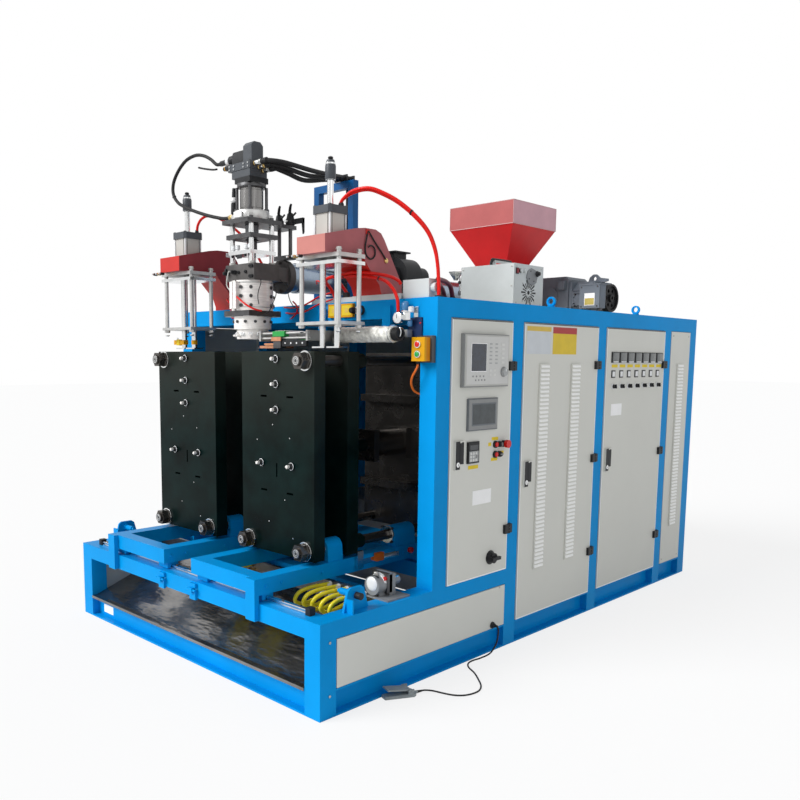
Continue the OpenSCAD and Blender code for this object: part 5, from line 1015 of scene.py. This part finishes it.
# %% [markdown]
# ## Pieces on the roof
# The hopper is folded sheet with a welded seam round its upper band; the band is a separate skin over the funnel,
# pinker and paler on its side as painted sheen. The supply box is thin sheet with a fan grille, a handle and small
# switches.

# %% Hopper skin and its band
# The band is the funnel's red with painted sheen: pink at the front, paler still on the sides.
band_painted_sheen_front = finish("band_painted_sheen_front", (0.44, 0.108, 0.105), 0.42, mottle=0.06, patch=8, grain=0.2, grain_size=300)
band_painted_sheen_side = finish("band_painted_sheen_side", (0.62, 0.35, 0.40), 0.42, mottle=0.06, patch=8, grain=0.2, grain_size=300)
seam_pale = finish("seam_pale", (0.58, 0.36, 0.36), 0.4, mottle=0.1, patch=20, grain=0.1)
hop = Workpiece("hopper_band")
for y in (2415.2, 2933.4):
    hop.block((-259.5, 259.5), (y, y + 1.4), (2390, 2538.4), band_painted_sheen_front)
for x in (258.2, -259.6):
    hop.block((x, x + 1.4), (2416.6, 2933.4), (2390, 2538.4), band_painted_sheen_side)
SEAMS = ((2386, 2390), (2536, 2539.5))
for y in (2414.6, 2933.4):
    for z in SEAMS:
        hop.block((-261, 261), (y, y + 2), z, seam_pale)
for x in (-261, 259):
    for z in SEAMS:
        hop.block((x, x + 2), (2415, 2935), z, seam_pale)
    for y in (2414, 2933.5):
        hop.block((x, x + 2), (y, y + 2), (2390, 2536), seam_pale)
hop.done("machine", "red_paint")

# %% Supply box details
box = Workpiece("supply_box_details")
box.block((685.6, 688), (1818, 2108), (1812, 2040), pale_enamel, 1)
for y, z in ((1836, 1826), (1836, 2030), (2090, 1826), (2090, 2030), (1962, 1826)):
    box.turned("x", y, z, [(687, 5), (689, 5), (690, 3)], zinc_plate, 12)
for x, z in ((328, 2030), (672, 2030), (328, 1818), (672, 1818), (672, 1920)):
    box.turned("y", z, x, [(1806.4, 3), (1807.4, 5), (1810.4, 5)], zinc_plate, 12)
box.turned("x", 1870, 2007, [(687.5, 12), (695, 12), (697, 9)], black_plastic, 28)
box.turned("x", 2040, 2000, [(687.5, 17), (698, 17), (703, 11), (712, 11), (714, 8)], black_plastic, 28)
box.block((687.5, 692), (1826, 1852), (1988, 2022), black_plastic, 1.5)
box.block((692, 696), (1829, 1849), (1991, 2019), finish("maroon", (0.22, 0.02, 0.03), 0.3, mottle=0.06, patch=30), 2)
tilt = [(1990 + 58 * math.cos(math.radians(a)), 1980 + 50 * math.sin(math.radians(a)))
        for a in (8, 52, 98, 142, 188, 232, 278, 322)]
box.plate(tilt, "x", 689, 693, cast_grey, 1)
for a in (30, 120, 210, 300):
    y, z = 1990 + 36 * math.cos(math.radians(a)), 1984 + 32 * math.sin(math.radians(a))
    box.turned("x", y, z, [(693, 4.5), (695, 4.5), (696, 3)], dark_steel, 12)
box.block((560, 584), (1880, 1900), (2046, 2051), black_plastic, 1)
box.done("machine", "light_paint")
handle_line = [(500, 1850, 2048), (500, 1850, 2066), (500, 1858, 2080), (500, 1874, 2085), (500, 2030, 2085),
               (500, 2046, 2080), (500, 2054, 2066), (500, 2054, 2048)]
hose("supply_box_handle", [handle_line], 9, black_plastic, steps=4, slot="dark_plastic")
rays = Workpiece("supply_box_grille")
for k, (c, s) in enumerate(circle(20)):
    inner, outer, wide = (22, 62, 3.6) if k % 2 else (30, 74, 5.4)
    ray = [(inner, wide * 0.6), (outer, wide), (outer, -wide), (inner, -wide * 0.6)]
    rays.plate([(1962 + r * c - w * s, 1888 + r * s + w * c) for r, w in ray], "x", 688, 688.8, black_plastic)
rays.turned("x", 1962, 1888, [(688, 12), (688.8, 12)], black_plastic, 24)
for y, z in ((1900, 1838), (1900, 1938), (2024, 1838), (2024, 1938)):
    rays.turned("x", y, z, [(688, 5), (690, 5), (691, 3)], zinc_plate, 12)
rays.done("machine", "light_paint")

# %% Chrome funnel bracket, rings and cables beside the supply box
side = Workpiece("filler_bracket")
side.turned("z", 268, 1815, [(1975, 14), (1985, 18), (2018, 44), (2024, 46), (2026, 42), (2020, 38), (1990, 12)],
            bright_steel, 6)
side.rod("y", 1960, 300, 1806, 1830, 10, black_plastic, 20, 2)
side.rod("z", 300, 1818, 1900, 1990, 8, bright_steel, 20, 1)
side.block((290, 313.2), (1811, 1830), (1884, 1910), dark_steel, 2)
side.pipe("z", 560, 1850, 1784, 1802, 62, 48, black_rubber, 48)
side.pipe("z", 690, 1960, 1784, 1796, 34, 24, cast_grey, 40)
side.done("machine", "bright_steel")
wine = [[(985, 762, 1862), (975, 790, 1862), (960, 850, 1858), (945, 905, 1840), (938, 930, 1800), (936, 935, 1784)],
        [(985, 758, 1836), (962, 792, 1838), (935, 850, 1832), (912, 895, 1816), (905, 912, 1794), (904, 915, 1784)]]
hose("roof_cables_red", wine, 11, finish("wine_hose", (0.12, 0.02, 0.03), 0.35, mottle=0.1, patch=14, grain=0.05),
     sides=14)
hose("roof_cables_grey", [[(962, 775, 1846), (940, 812, 1850), (915, 868, 1844), (880, 920, 1822), (868, 940, 1796),
                           (866, 944, 1784)], [(950, 745, 1815), (915, 795, 1820), (880, 850, 1812), (850, 890, 1796),
                                               (846, 896, 1784)]], 10, cast_grey, sides=14)
glands = Workpiece("roof_cable_glands")
for x, y in ((936, 935), (904, 915), (866, 944), (846, 896)):
    glands.turned("z", x, y, [(1782.5, 16), (1792, 16), (1794, 13), (1800, 12.5)], black_plastic, 6)
glands.block((480, 803), (716.3, 719.5), (1780, 1806), pale_enamel, 1)
glands.done("machine", "dark_plastic")

# %% Motor and gearbox details
motor = Workpiece("motor_details")
motor.plate([(1915 + 44 * s, 430 + 44 * c) for c, s in circle(6)], "y", 2992, 3010, motor_grey, 2)
for x in (392, 468):
    for z in (1876, 1954):
        motor.turned("y", z, x, [(2990, 6), (2996, 7), (3010, 7)], dark_steel, 6)
motor.block((474, 621), (2918, 2932), (1850, 2005), motor_grey, 4)
motor.block((512, 588), (2916.4, 2918), (1868, 1950), white_plate)
motor.block((516, 584), (2915.6, 2916.4), (1872, 1916),
            finish("plate_gold", (0.45, 0.36, 0.10), 0.4, metal=0.4, mottle=0.12, patch=60))
motor.block((470, 626), (2914, 3006), (2003, 2012), gear_grey, 3)
for x in (488, 606):
    for z in (1862, 1992):
        motor.turned("y", z, x, [(2914, 4), (2916, 6), (2919, 6)], dark_steel, 12)
    motor.rod("z", x, 2960, 1832, 1852, 16, dark_steel, 24, 2)
motor.done("machine", "grey_metal")
print("roof done")

# %% [markdown]
# ## Cutter, air preparation and the start button
# The cutter's tube is wrapped in foil against the heat of the head. Foil is a good case for a rule: a plain tube,
# pushed in and out by a fractured noise, looks crumpled from every side, while its true diameter stays readable.

# %% Foil sleeve, wire clamps and black coil end
sleeve = grown("foil_sleeve", route_mesh("foil_route",
                                         [[(519, 600, 1612), (640, 600, 1613), (760, 600, 1613), (872, 600, 1612)]]),
               SLEEVE, {"Radius": 0.0385, "Crease": 0.016, "Crease Size": 40.0, "Seed": 5, "Finish": foil_wrap},
               "machine", 60)
coil = Workpiece("foil_tube_ends")
for k in range(6):
    coil.pipe("x", 600, 1612, 872 + 6 * k, 877 + 6 * k, 31, 21, black_rubber, 40)
coil.rod("x", 600, 1612, 866, 896, 27, black_plastic, 32, 2)
coil.pipe("x", 600, 1614, 500, 522, 25, 16, bright_steel, 40)
coil.block((504, 516), (560, 640), (1570, 1600), zinc_plate, 2)
for x in (534, 858):
    coil.pipe("x", 600, 1614, x, x + 5, 40.5, 34, bright_steel, 40)
    coil.block((x - 1, x + 6), (558, 564), (1604, 1624), bright_steel, 1)
for x in (560, 790):
    coil.block((x, x + 20), (634, 666), (1600, 1634), dark_steel, 2)
ring = [(900 + 7 * math.sin(t / 6 * math.pi), 600 - 27 * math.cos(math.tau * t / 12),
         1614 + 27 * math.sin(math.tau * t / 12)) for t in range(2, 11)]
coil = coil.done("machine", "foil_wrap")
wires = hose("foil_tube_wires", [ring, [(900, 590, 1634), (914, 586, 1640), (920, 588, 1622), (914, 590, 1604),
                                        (900, 592, 1596)]], 2.2, bright_steel, sides=8, slot="cable_rubber")
for piece in (sleeve, coil, wires):
    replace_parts(piece, "cutter_drive")

# %% Hot knife: holder and copper prongs
knife = Workpiece("hot_knife")
knife.block((232, 288), (413, 449), (1549, 1606), dark_steel, 3)
knife.block((222, 312), (416, 446), (1606, 1632), green_plastic, 3)
for k in range(4):
    knife.turned("z", 236 + 22 * k, 431, [(1631, 6), (1635, 6), (1636, 4)], zinc_plate, 12)
knife.block((222, 294), (408, 413.2), (1584, 1603), copper_plate, 1.5)
knife.block((140, 240), (430, 452), (1566, 1574), copper_plate, 1.5)
knife.block((216, 290), (447, 496), (1549, 1565), copper_plate, 2)
for y in (452, 485):
    knife.plate([(76, y), (92, y + 2), (216, y), (216, y + 12), (92, y + 11), (76, y + 8)], "z", 1550, 1562,
                copper_plate, 1)
knife.rod("y", 1555, 86, 461, 488, 1.6, bright_steel, 12)
knife.block((128, 206), (446, 500), (1563, 1570), copper_plate, 1)
knife.block((286, 470), (418, 433), (1558, 1588), black_plastic, 4)
for k in range(4):
    knife.turned("y", 1573, 318 + 42 * k, [(416.4, 4), (418.4, 5)], white_plate, 16)
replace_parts(knife.done("cutter", "copper_plate"), "cutter_head")
hose("knife_wires", [[(236, 470, 1570), (250, 520, 1582), (262, 560, 1590), (270, 606, 1592)],
                     [(262, 470, 1570), (282, 510, 1584), (300, 552, 1592), (310, 602, 1592)]], 3, green_plastic,
     "cutter", slot="cable_rubber")

# %% Marked collars on the left blow pins and blue air valves behind them
collars = Workpiece("pin_collars")
collars.block((-720, -618), (452, 482), (1574, 1600), yellow_plastic, 4)
collars.block((-690, -662), (450, 484), (1570, 1604), tag_yellow, 3)
collars.pipe("z", -533, HEAD_Y, 1574, 1598, 17, 9, yellow_plastic, 32)
collars.turned("z", -705, HEAD_Y, [(1599, 5), (1612, 5), (1614, 3)], bright_steel, 16)
collars.done("left_blow_unit", "copper_plate")

# %% Air filter, gauge and regulator
air = Workpiece("air_preparation_parts")
for x0 in (325, 418):
    air.block((x0, x0 + 82), (698, 715.8), (1705, 1772), yellow_plastic, 3)
    air.block((x0 + 9, x0 + 73), (696.8, 698.4), (1714, 1763), tag_yellow, 0.5)
    air.block((x0 + 30, x0 + 52), (696, 696.9), (1728, 1750), header_yellow, 0.2)
air.turned("y", 1736, 512, [(672, 12), (680, 15), (704, 15), (716, 20)], black_plastic, 28)
air.pipe("y", 1736, 545, 690, 700, 21, 14, bright_steel, 40)
air.turned("y", 1736, 545, [(699, 17), (716, 24)], black_plastic, 32)
# A navy plate as painted shade: it stands for the shaded blue inside of the bay behind the air unit.
painted_bay_shade = finish("painted_bay_shade_plate", (0.012, 0.03, 0.10), 0.4, mottle=0.08, patch=10, grain=0.1)
air.block((859, 940), (708, 716), (1604, 1690), painted_bay_shade, 2)
air.turned("y", 1664, 932, [(705, 3.5), (708.4, 4.5)], red_plastic, 16)
air.block((862, 904), (668, 712), (1678, 1712), bright_steel, 4)
air.block((850, 916), (709, 716), (1692, 1740), bright_steel, 1)
air.block((820, 862), (672, 704), (1684, 1704), zinc_plate, 3)
air.turned("y", 1688, 838, [(650.2, 24), (651.5, 26.5), (668, 26.5), (672, 22)], bright_steel, 48)
air.turned("y", 1688, 838, [(649.2, 21), (650.4, 23.5), (651.6, 23.5)], lit_white, 48)
air.block((836.6, 839.4), (648.6, 649.4), (1686, 1704), black_plastic)
air.turned("z", 858, 686, [(1711, 14), (1714, 20), (1720, 20), (1723, 17)], bright_steel, 36)
air.turned("z", 858, 686, [(1722, 15), (1726, 18), (1752, 18), (1760, 14), (1764, 7)], blue_glass, 36)
air.turned("z", 894, 686, [(1711, 9), (1716, 14), (1736, 14), (1739, 11)], lit_white, 32)
air.turned("z", 884, 690, [(1648, 8), (1654, 12), (1676, 12), (1679, 10)], blue_glass, 28)
for x in (249, 699):
    air.block((x, x + 52), (699.2, 716.2), (1634.3, 1750.4), blue_paint, 1)
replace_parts(air.done("machine", "yellow_plastic"), "air_preparation")

# %% Button box on the post
press = Workpiece("button_box_parts")
orange_side = finish("orange_side", (0.62, 0.22, 0.006), 0.4, mottle=0.06, patch=20, grain=0.1)
press.block((931, 1007.6), (650, 664), (1490, 1598), yellow_plastic, 5)
press.block((931.6, 1007), (664, 690), (1490.6, 1597.4), orange_side, 3)
press.block((929, 1018), (690, 715.8), (1484, 1606), slate, 2)
for z, made in ((1522, green_plastic), (1566, red_plastic)):
    press.turned("y", z, 969, [(642, 15.5), (644, 17), (650.6, 17)], bright_steel, 36)
    press.turned("y", z, 969, [(639, 10), (640.4, 12.5), (643, 12.5)], made, 32)
press.turned("z", 951, 672, [(1476, 7), (1480, 9), (1490.6, 9)], black_plastic, 24)
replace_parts(press.done("machine", "yellow_plastic"), "button_box")
hose("button_cable", [[(951, 672, 1478), (950, 671, 1466), (944, 664, 1446), (928, 662, 1420), (913, 672, 1390),
                       (908, 694, 1358), (914, 716, 1343), (930, 732, 1336), (950, 738, 1334)]], 5.2,
     finish("orange_cable", (0.60, 0.12, 0.01), 0.35, mottle=0.1, patch=16, grain=0.05), slot="cable_rubber")
print("cutter and air done")

# %% [markdown]
# ## Clamps and carriages
# Mould platens are flame-blackened plates: dark green-black, oiled and slightly glossy. Each clamp bolt sits in a
# cross of dark grease, and the big nuts have a bright washer behind them. These small marks are thin pieces that
# ride on the platen, so they move with it when the mould opens.

# %% Platen marks, clamp bolts and tie bar ends
CLAMPS = (("left", -411, -1), ("right", 361, 1))       # a side, the middle of its clamp and the way out
TIE_X, TIE_Z = 211, 592                                # the lower tie bars, from the middle of a clamp
grease = finish("grease", (0.003, 0.003, 0.003), 0.3, mottle=0.3, patch=40, grain=0.05, shine=0.3)
for tag, x, out in CLAMPS:
    spots = [(x, 1497), (x, 1377), (x, 1254), (x - 113, 989), (x + 113, 989)]
    marks = Workpiece("platen_marks_" + tag)
    for u, z in spots[:3]:
        marks.block((u - 30, u + 30), (324.4, 325.1), (z - 6, z + 6), grease)
        marks.block((u - 6, u + 6), (324.4, 325.1), (z - 26, z + 26), grease)
    for u, z in ((x - 150, 1100), (x + 96, 1122), (x - 60, 700), (x + 120, 640), (x - 30, 1180), (x + 60, 820)):
        marks.rod("y", z, u, 324.6, 325.1, 3, bright_steel, 12)
    for u, z in spots:
        marks.turned("y", z, u, [(288.4, 5.5), (289.6, 8.7), (304, 8.7)], machined_steel, 20)
        marks.pipe("y", z, u, 317.4, 319.3, 18.6, 12, lit_white, 32)
    marks.done(tag + "_clamp", "platen_black")
    scattered("clamp_nuts_" + tag, hex_bolt, [(u, 319.2, z) for u, z in spots], Y_BACK, 14, dark_steel, tag + "_clamp")
    nuts = Workpiece("tie_bar_ends_" + tag)
    for u, z in ((x - TIE_X, TIE_Z), (x + TIE_X, TIE_Z), (x + out * TIE_X, 1489)):
        nuts.turned("y", z, u, [(262.6, 22), (263.6, 24), (264, 24)], dark_steel, 40)
        nuts.pipe("y", z, u, 261.9, 262.9, 20, 15, plate_steel, 40)
        nuts.pipe("y", z, u, 261.9, 262.9, 12, 8, plate_steel, 32)
        nuts.turned("y", z, u, [(261.8, 7), (262.8, 8)], dark_steel, 24)
        nuts.pipe("y", z, u, 316.6, 325, 47.2, 40, bright_steel, 48)
    nuts.done(tag + "_clamp", "bright_steel")

# %% Bearing rings, limit switch and grease lines on the carriages
for tag, x, out in CLAMPS:
    ride = Workpiece("carriage_details_" + tag)
    for u in (x - TIE_X, x + TIE_X):
        for y0, y1, r in ((418, 425.2, 36), (888, 900.2, 45), (1059.8, 1066, 36)):
            ride.pipe("y", TIE_Z, u, y0, y1, r, 26.2, bright_steel, 48)
        for z in (TIE_Z - 36, TIE_Z + 36):
            for s in (-34, 34):
                ride.turned("y", z, u + s, [(885, 4), (886, 6), (900.2, 6)], dark_steel, 12)
    side = x + out * 265
    if tag == "right":
        ride.block((side, side + 9), (600, 920), (486, 512), bright_steel, 2)
        ride.block((side + 9, side + 22), (600, 640), (470, 560), bright_steel, 2)
        ride.block((side + 9, side + 30), (730, 782), (490, 530),
                   finish("switch_orange", (0.62, 0.13, 0.01), 0.4, mottle=0.06, patch=20), 4)
        ride.rod("y", 508, side + 20, 782, 880, 9, plate_steel, 24, 1)
        ride.turned("x", 1010, 500, [(side, 14), (side + 6, 16), (side + 18, 16), (side + 22, 11)], red_plastic, 32)
    for y in (40, 130, 380, 960, 1120):
        ride.turned("x", y, 492, [(x + 265, 7), (x + 269, 8), (x + 272, 5)], blue_paint, 16)
    ride.done(tag + "_carriage", "blue_paint")

# %% Rail fittings, shock absorbers and bolts of the base
base = Workpiece("base_details")
for s in (-1, 1):
    base.block((s * 899 - 14, s * 899 + 14), (44, 76), (418.2, 452), black_plastic, 3)
    base.block((s * 899 - 14, s * 899 + 14), (1104, 1136), (418.2, 452), black_plastic, 3)
    base.turned("x", 250, 485, sorted([(s * 907, 13), (s * 947, 13)]), black_plastic, 28)
    base.turned("x", 250, 485, sorted([(s * 885, 8), (s * 908, 8)]), bright_steel, 24)
    base.turned("x", 250, 485, sorted([(s * 983.5, 14), (s * 985, 15.5), (s * 1016, 15.5), (s * 1018, 13)]),
                black_plastic, 28)
for x in (-156, 124):
    base.turned("y", 385, x, [(-8, 9), (-6, 12), (0.2, 12)], dark_steel, 6)
    base.turned("y", 385, x + 22, [(-14, 6), (0.2, 6)], bright_steel, 16)
base.block((-870, -765), (40.9, 42.1), (28, 75), white_plate)
base.turned("x", 1205, 142, [(1026.8, 17), (1034, 17), (1036, 13), (1045, 11)], black_plastic, 32)
base.done("machine", "blue_paint")
scattered("rail_screws", socket_screw, [(x, y, 442) for y in (60, 1120) for x in range(-840, 850, 120)], UP, 5.5,
          dark_steel, "machine")

# %% Hydraulic motor under the right carriage
drive = Workpiece("shuttle_drive_details")
drive.turned("y", 484, 905, [(424, 16), (426, 28), (431, 34), (444, 35), (445, 33)], lit_white, 48)
drive.turned("y", 484, 905, [(444, 37), (456, 37), (457, 34)], black_plastic, 48)
drive.turned("y", 484, 905, [(456, 34), (468, 34), (470, 42), (484, 43)], lit_white, 48)
drive.block((858, 952), (484, 500), (436, 530), dark_steel, 4)
drive.block((860, 950), (500, 520), (438, 528), motor_grey, 4)
drive.turned("y", 484, 905, [(520, 20), (560, 20), (566, 14), (600, 14)], bright_steel, 32)
drive.turned("y", 505, 940, [(470, 8), (472, 10), (484.2, 10)], red_plastic, 6)
drive.turned("y", 462, 868, [(468, 7), (470, 9), (484.2, 9)], bright_steel, 6)
drive.turned("z", 905, 458, [(519, 9), (532, 11), (536, 8)], zinc_plate, 20)
drive.done("machine", "grey_metal")
print("clamps done")

# %% [markdown]
# ## Louvres, edges and hinges of the doors
# Sheet doors show their make at the edges: the folded rim catches the light on three sides and the gap above is
# dark, and thin strips put these on as painted highlight and painted shadow. The louvre lips are pressed out of the
# sheet one under the other, so one lip is drawn and laid out in rows, whiter than the door as painted highlight.

# %% Louvre lips
LIP = [(0, 6), (2.8, 4.4), (4.8, 0), (5.6, -6.6), (4.6, -7.2), (0, -2)]      # (out, up)
LIP_HALF, LIP_PITCH, LIPS = 41, 22, 50
bm = bmesh.new()
skin(bm, [[bm.verts.new((u / 1000, s * LIP_HALF / 1000, v / 1000)) for u, v in LIP] for s in (-1, 1)])
bmesh.ops.recalc_face_normals(bm, faces=bm.faces)
lip = bpy.data.objects.new("louvre_lip", as_mesh("louvre_lip", bm))
# The lips are the door's own paint, made whiter as painted highlight.
painted_highlight_white = finish("painted_highlight_white", (0.98, 0.98, 0.96), 0.42, mottle=0.03, patch=3, grain=0.08, grain_size=420)
for tag, body, face, columns in (("middle", "middle_door", DOOR, ((1605, 48), (1926, 59))),
                                 ("end", "machine", SIDE, ((3297, 48),))):
    strip = Workpiece("louvre_field_" + tag)
    for y, right in columns:
        strip.block((face, face + 7.4), (y - 46, y + right), (373, 1479), door_grey, 3)
    strip.done(body, "panel_plastic")
    in_rows("louvre_lips_" + tag, lip, (face + 7, columns[0][0], 388), (0, 0, LIP_PITCH), LIPS, painted_highlight_white, body,
            (0, columns[-1][0] - columns[0][0], 0), len(columns))

# %% Edges that catch the light, as painted highlight and painted shadow
def painted_edge_light(name, body, y, z):
    """Painted highlight strips for the folded rims at the sides and the foot of a sheet, and painted shadow for the
    gap above it.
    """
    rim = DoorWork(name)
    for ys, zs, made in (((y[0] + 0.5, y[0] + 4.5), (z[0] + 1, z[1] - 6), painted_highlight_white),
                         ((y[1] - 4.5, y[1] - 0.5), (z[0] + 1, z[1] - 6), painted_highlight_white),
                         ((y[0] + 4.5, y[1] - 4.5), (z[0] + 1, z[0] + 6), painted_highlight_white),
                         # The dark strip at the top is painted shadow of the gap.
                         ((y[0] + 0.5, y[1] - 0.5), (z[1] - 6, z[1] - 1), slate)):
        rim.raised(0, 0.6, ys, zs, made)
    rim.done(body, "panel_plastic")

for tag, y, foot in (("front", (820, 1309), 421), ("middle", (1415, 2175), 123), ("rear", (2279, 3047), 123)):
    painted_edge_light("door_rim_" + tag, tag + "_door", y, (foot, 1689))

# %% Hinge leaves
HINGES = (("front", 1312, (635, 1468)), ("middle", 2178, (376, 932, 1471)), ("rear", 3050, (349, 911, 1473)))
frame_leaf = Workpiece("hinge_leaves_frame")
for tag, post, heights in HINGES:
    leaf = DoorWork("hinge_leaves_" + tag)
    for z in heights:
        leaf.raised(0, 15, (post - 40, post - 10), (z - 23, z + 23), black_plastic, 3)
        leaf.turned("z", 1039.5, post - 1.5, [(z - 8.2, 7), (z - 7.6, 8.4), (z + 7.6, 8.4), (z + 8.2, 7)],
                    black_plastic, 24)
        leaf.raised(1, 12, (post - 10.5, post - 7), (z - 7.6, z + 7.6), black_plastic)
        frame_leaf.block((1025.3, 1042), (post + 8, post + 26), (z - 23, z + 23), black_plastic, 3)
    leaf.done(tag + "_door", "dark_plastic")
frame_leaf.done("machine", "dark_plastic")
print("doors dressed")

# %% [markdown]
# ## Floor and light
# The machine stands on a plain pale floor in even studio light: a broad sun from the front left, a weak one from
# the right and a soft sky. Floor and sky are white only where the camera or a shiny surface sees them, so that
# the background is white and the colours still render as they are written.

# %% Floor, lamps and sky
def white_where_seen(holder, output, plain, white, rays, share):
    """Blends the white node over the plain one where a ray of these kinds looks. Nodes are (kind, inputs)."""
    holder.use_nodes = True
    tree = holder.node_tree
    tree.nodes.clear()
    path, looks = node(tree, "ShaderNodeLightPath", {}), 0
    for ray in rays:
        looks = node(tree, "ShaderNodeMath", {0: looks, 1: path.outputs[ray]}, operation="MAXIMUM").outputs[0]
    part = node(tree, "ShaderNodeMath", {0: looks, 1: share}, operation="MULTIPLY")
    blend = node(tree, "ShaderNodeMixShader", {0: part.outputs[0], 1: node(tree, *plain).outputs[0],
                                               2: node(tree, *white).outputs[0]})
    node(tree, output, {"Surface": blend.outputs[0]})

sheet = bpy.data.meshes.new("pale_floor")
sheet.from_pydata([(-40, -40, 0), (40, -40, 0), (40, 60, 0), (-40, 60, 0)], [], [(0, 1, 2, 3)])
floor = added("pale_floor", sheet)
pale = bpy.data.materials.new("pale_floor")
white_where_seen(pale, "ShaderNodeOutputMaterial", ("ShaderNodeBsdfDiffuse", {"Color": (0.86, 0.86, 0.86, 1)}),
                 ("ShaderNodeEmission", {}), ("Is Camera Ray", "Is Glossy Ray"), 0.8)
sheet.materials.append(pale)

def sun(name, direction, strength, softness):
    lamp = bpy.data.lights.new(name, "SUN")
    lamp.energy, lamp.angle = strength, softness
    added(name, lamp).rotation_euler = Vector(direction).to_track_quat("-Z", "Y").to_euler()

sun("broad_sun", (0.42, 0.86, -0.62), 3.15, 0.6)
sun("side_sun", (-0.9, 0.1, -0.5), 0.25, 0.8)

sky = bpy.data.worlds.new("studio_sky")
bpy.context.scene.world = sky
white_where_seen(sky, "ShaderNodeOutputWorld", ("ShaderNodeBackground",
                                                {"Color": (0.96, 0.98, 1, 1), "Strength": 0.46}),
                 ("ShaderNodeBackground", {"Color": (1, 1, 1, 1), "Strength": 1.0}),
                 ("Is Camera Ray", "Is Glossy Ray", "Is Transmission Ray"), 1.0)
bpy.context.scene.view_settings.view_transform = "Standard"
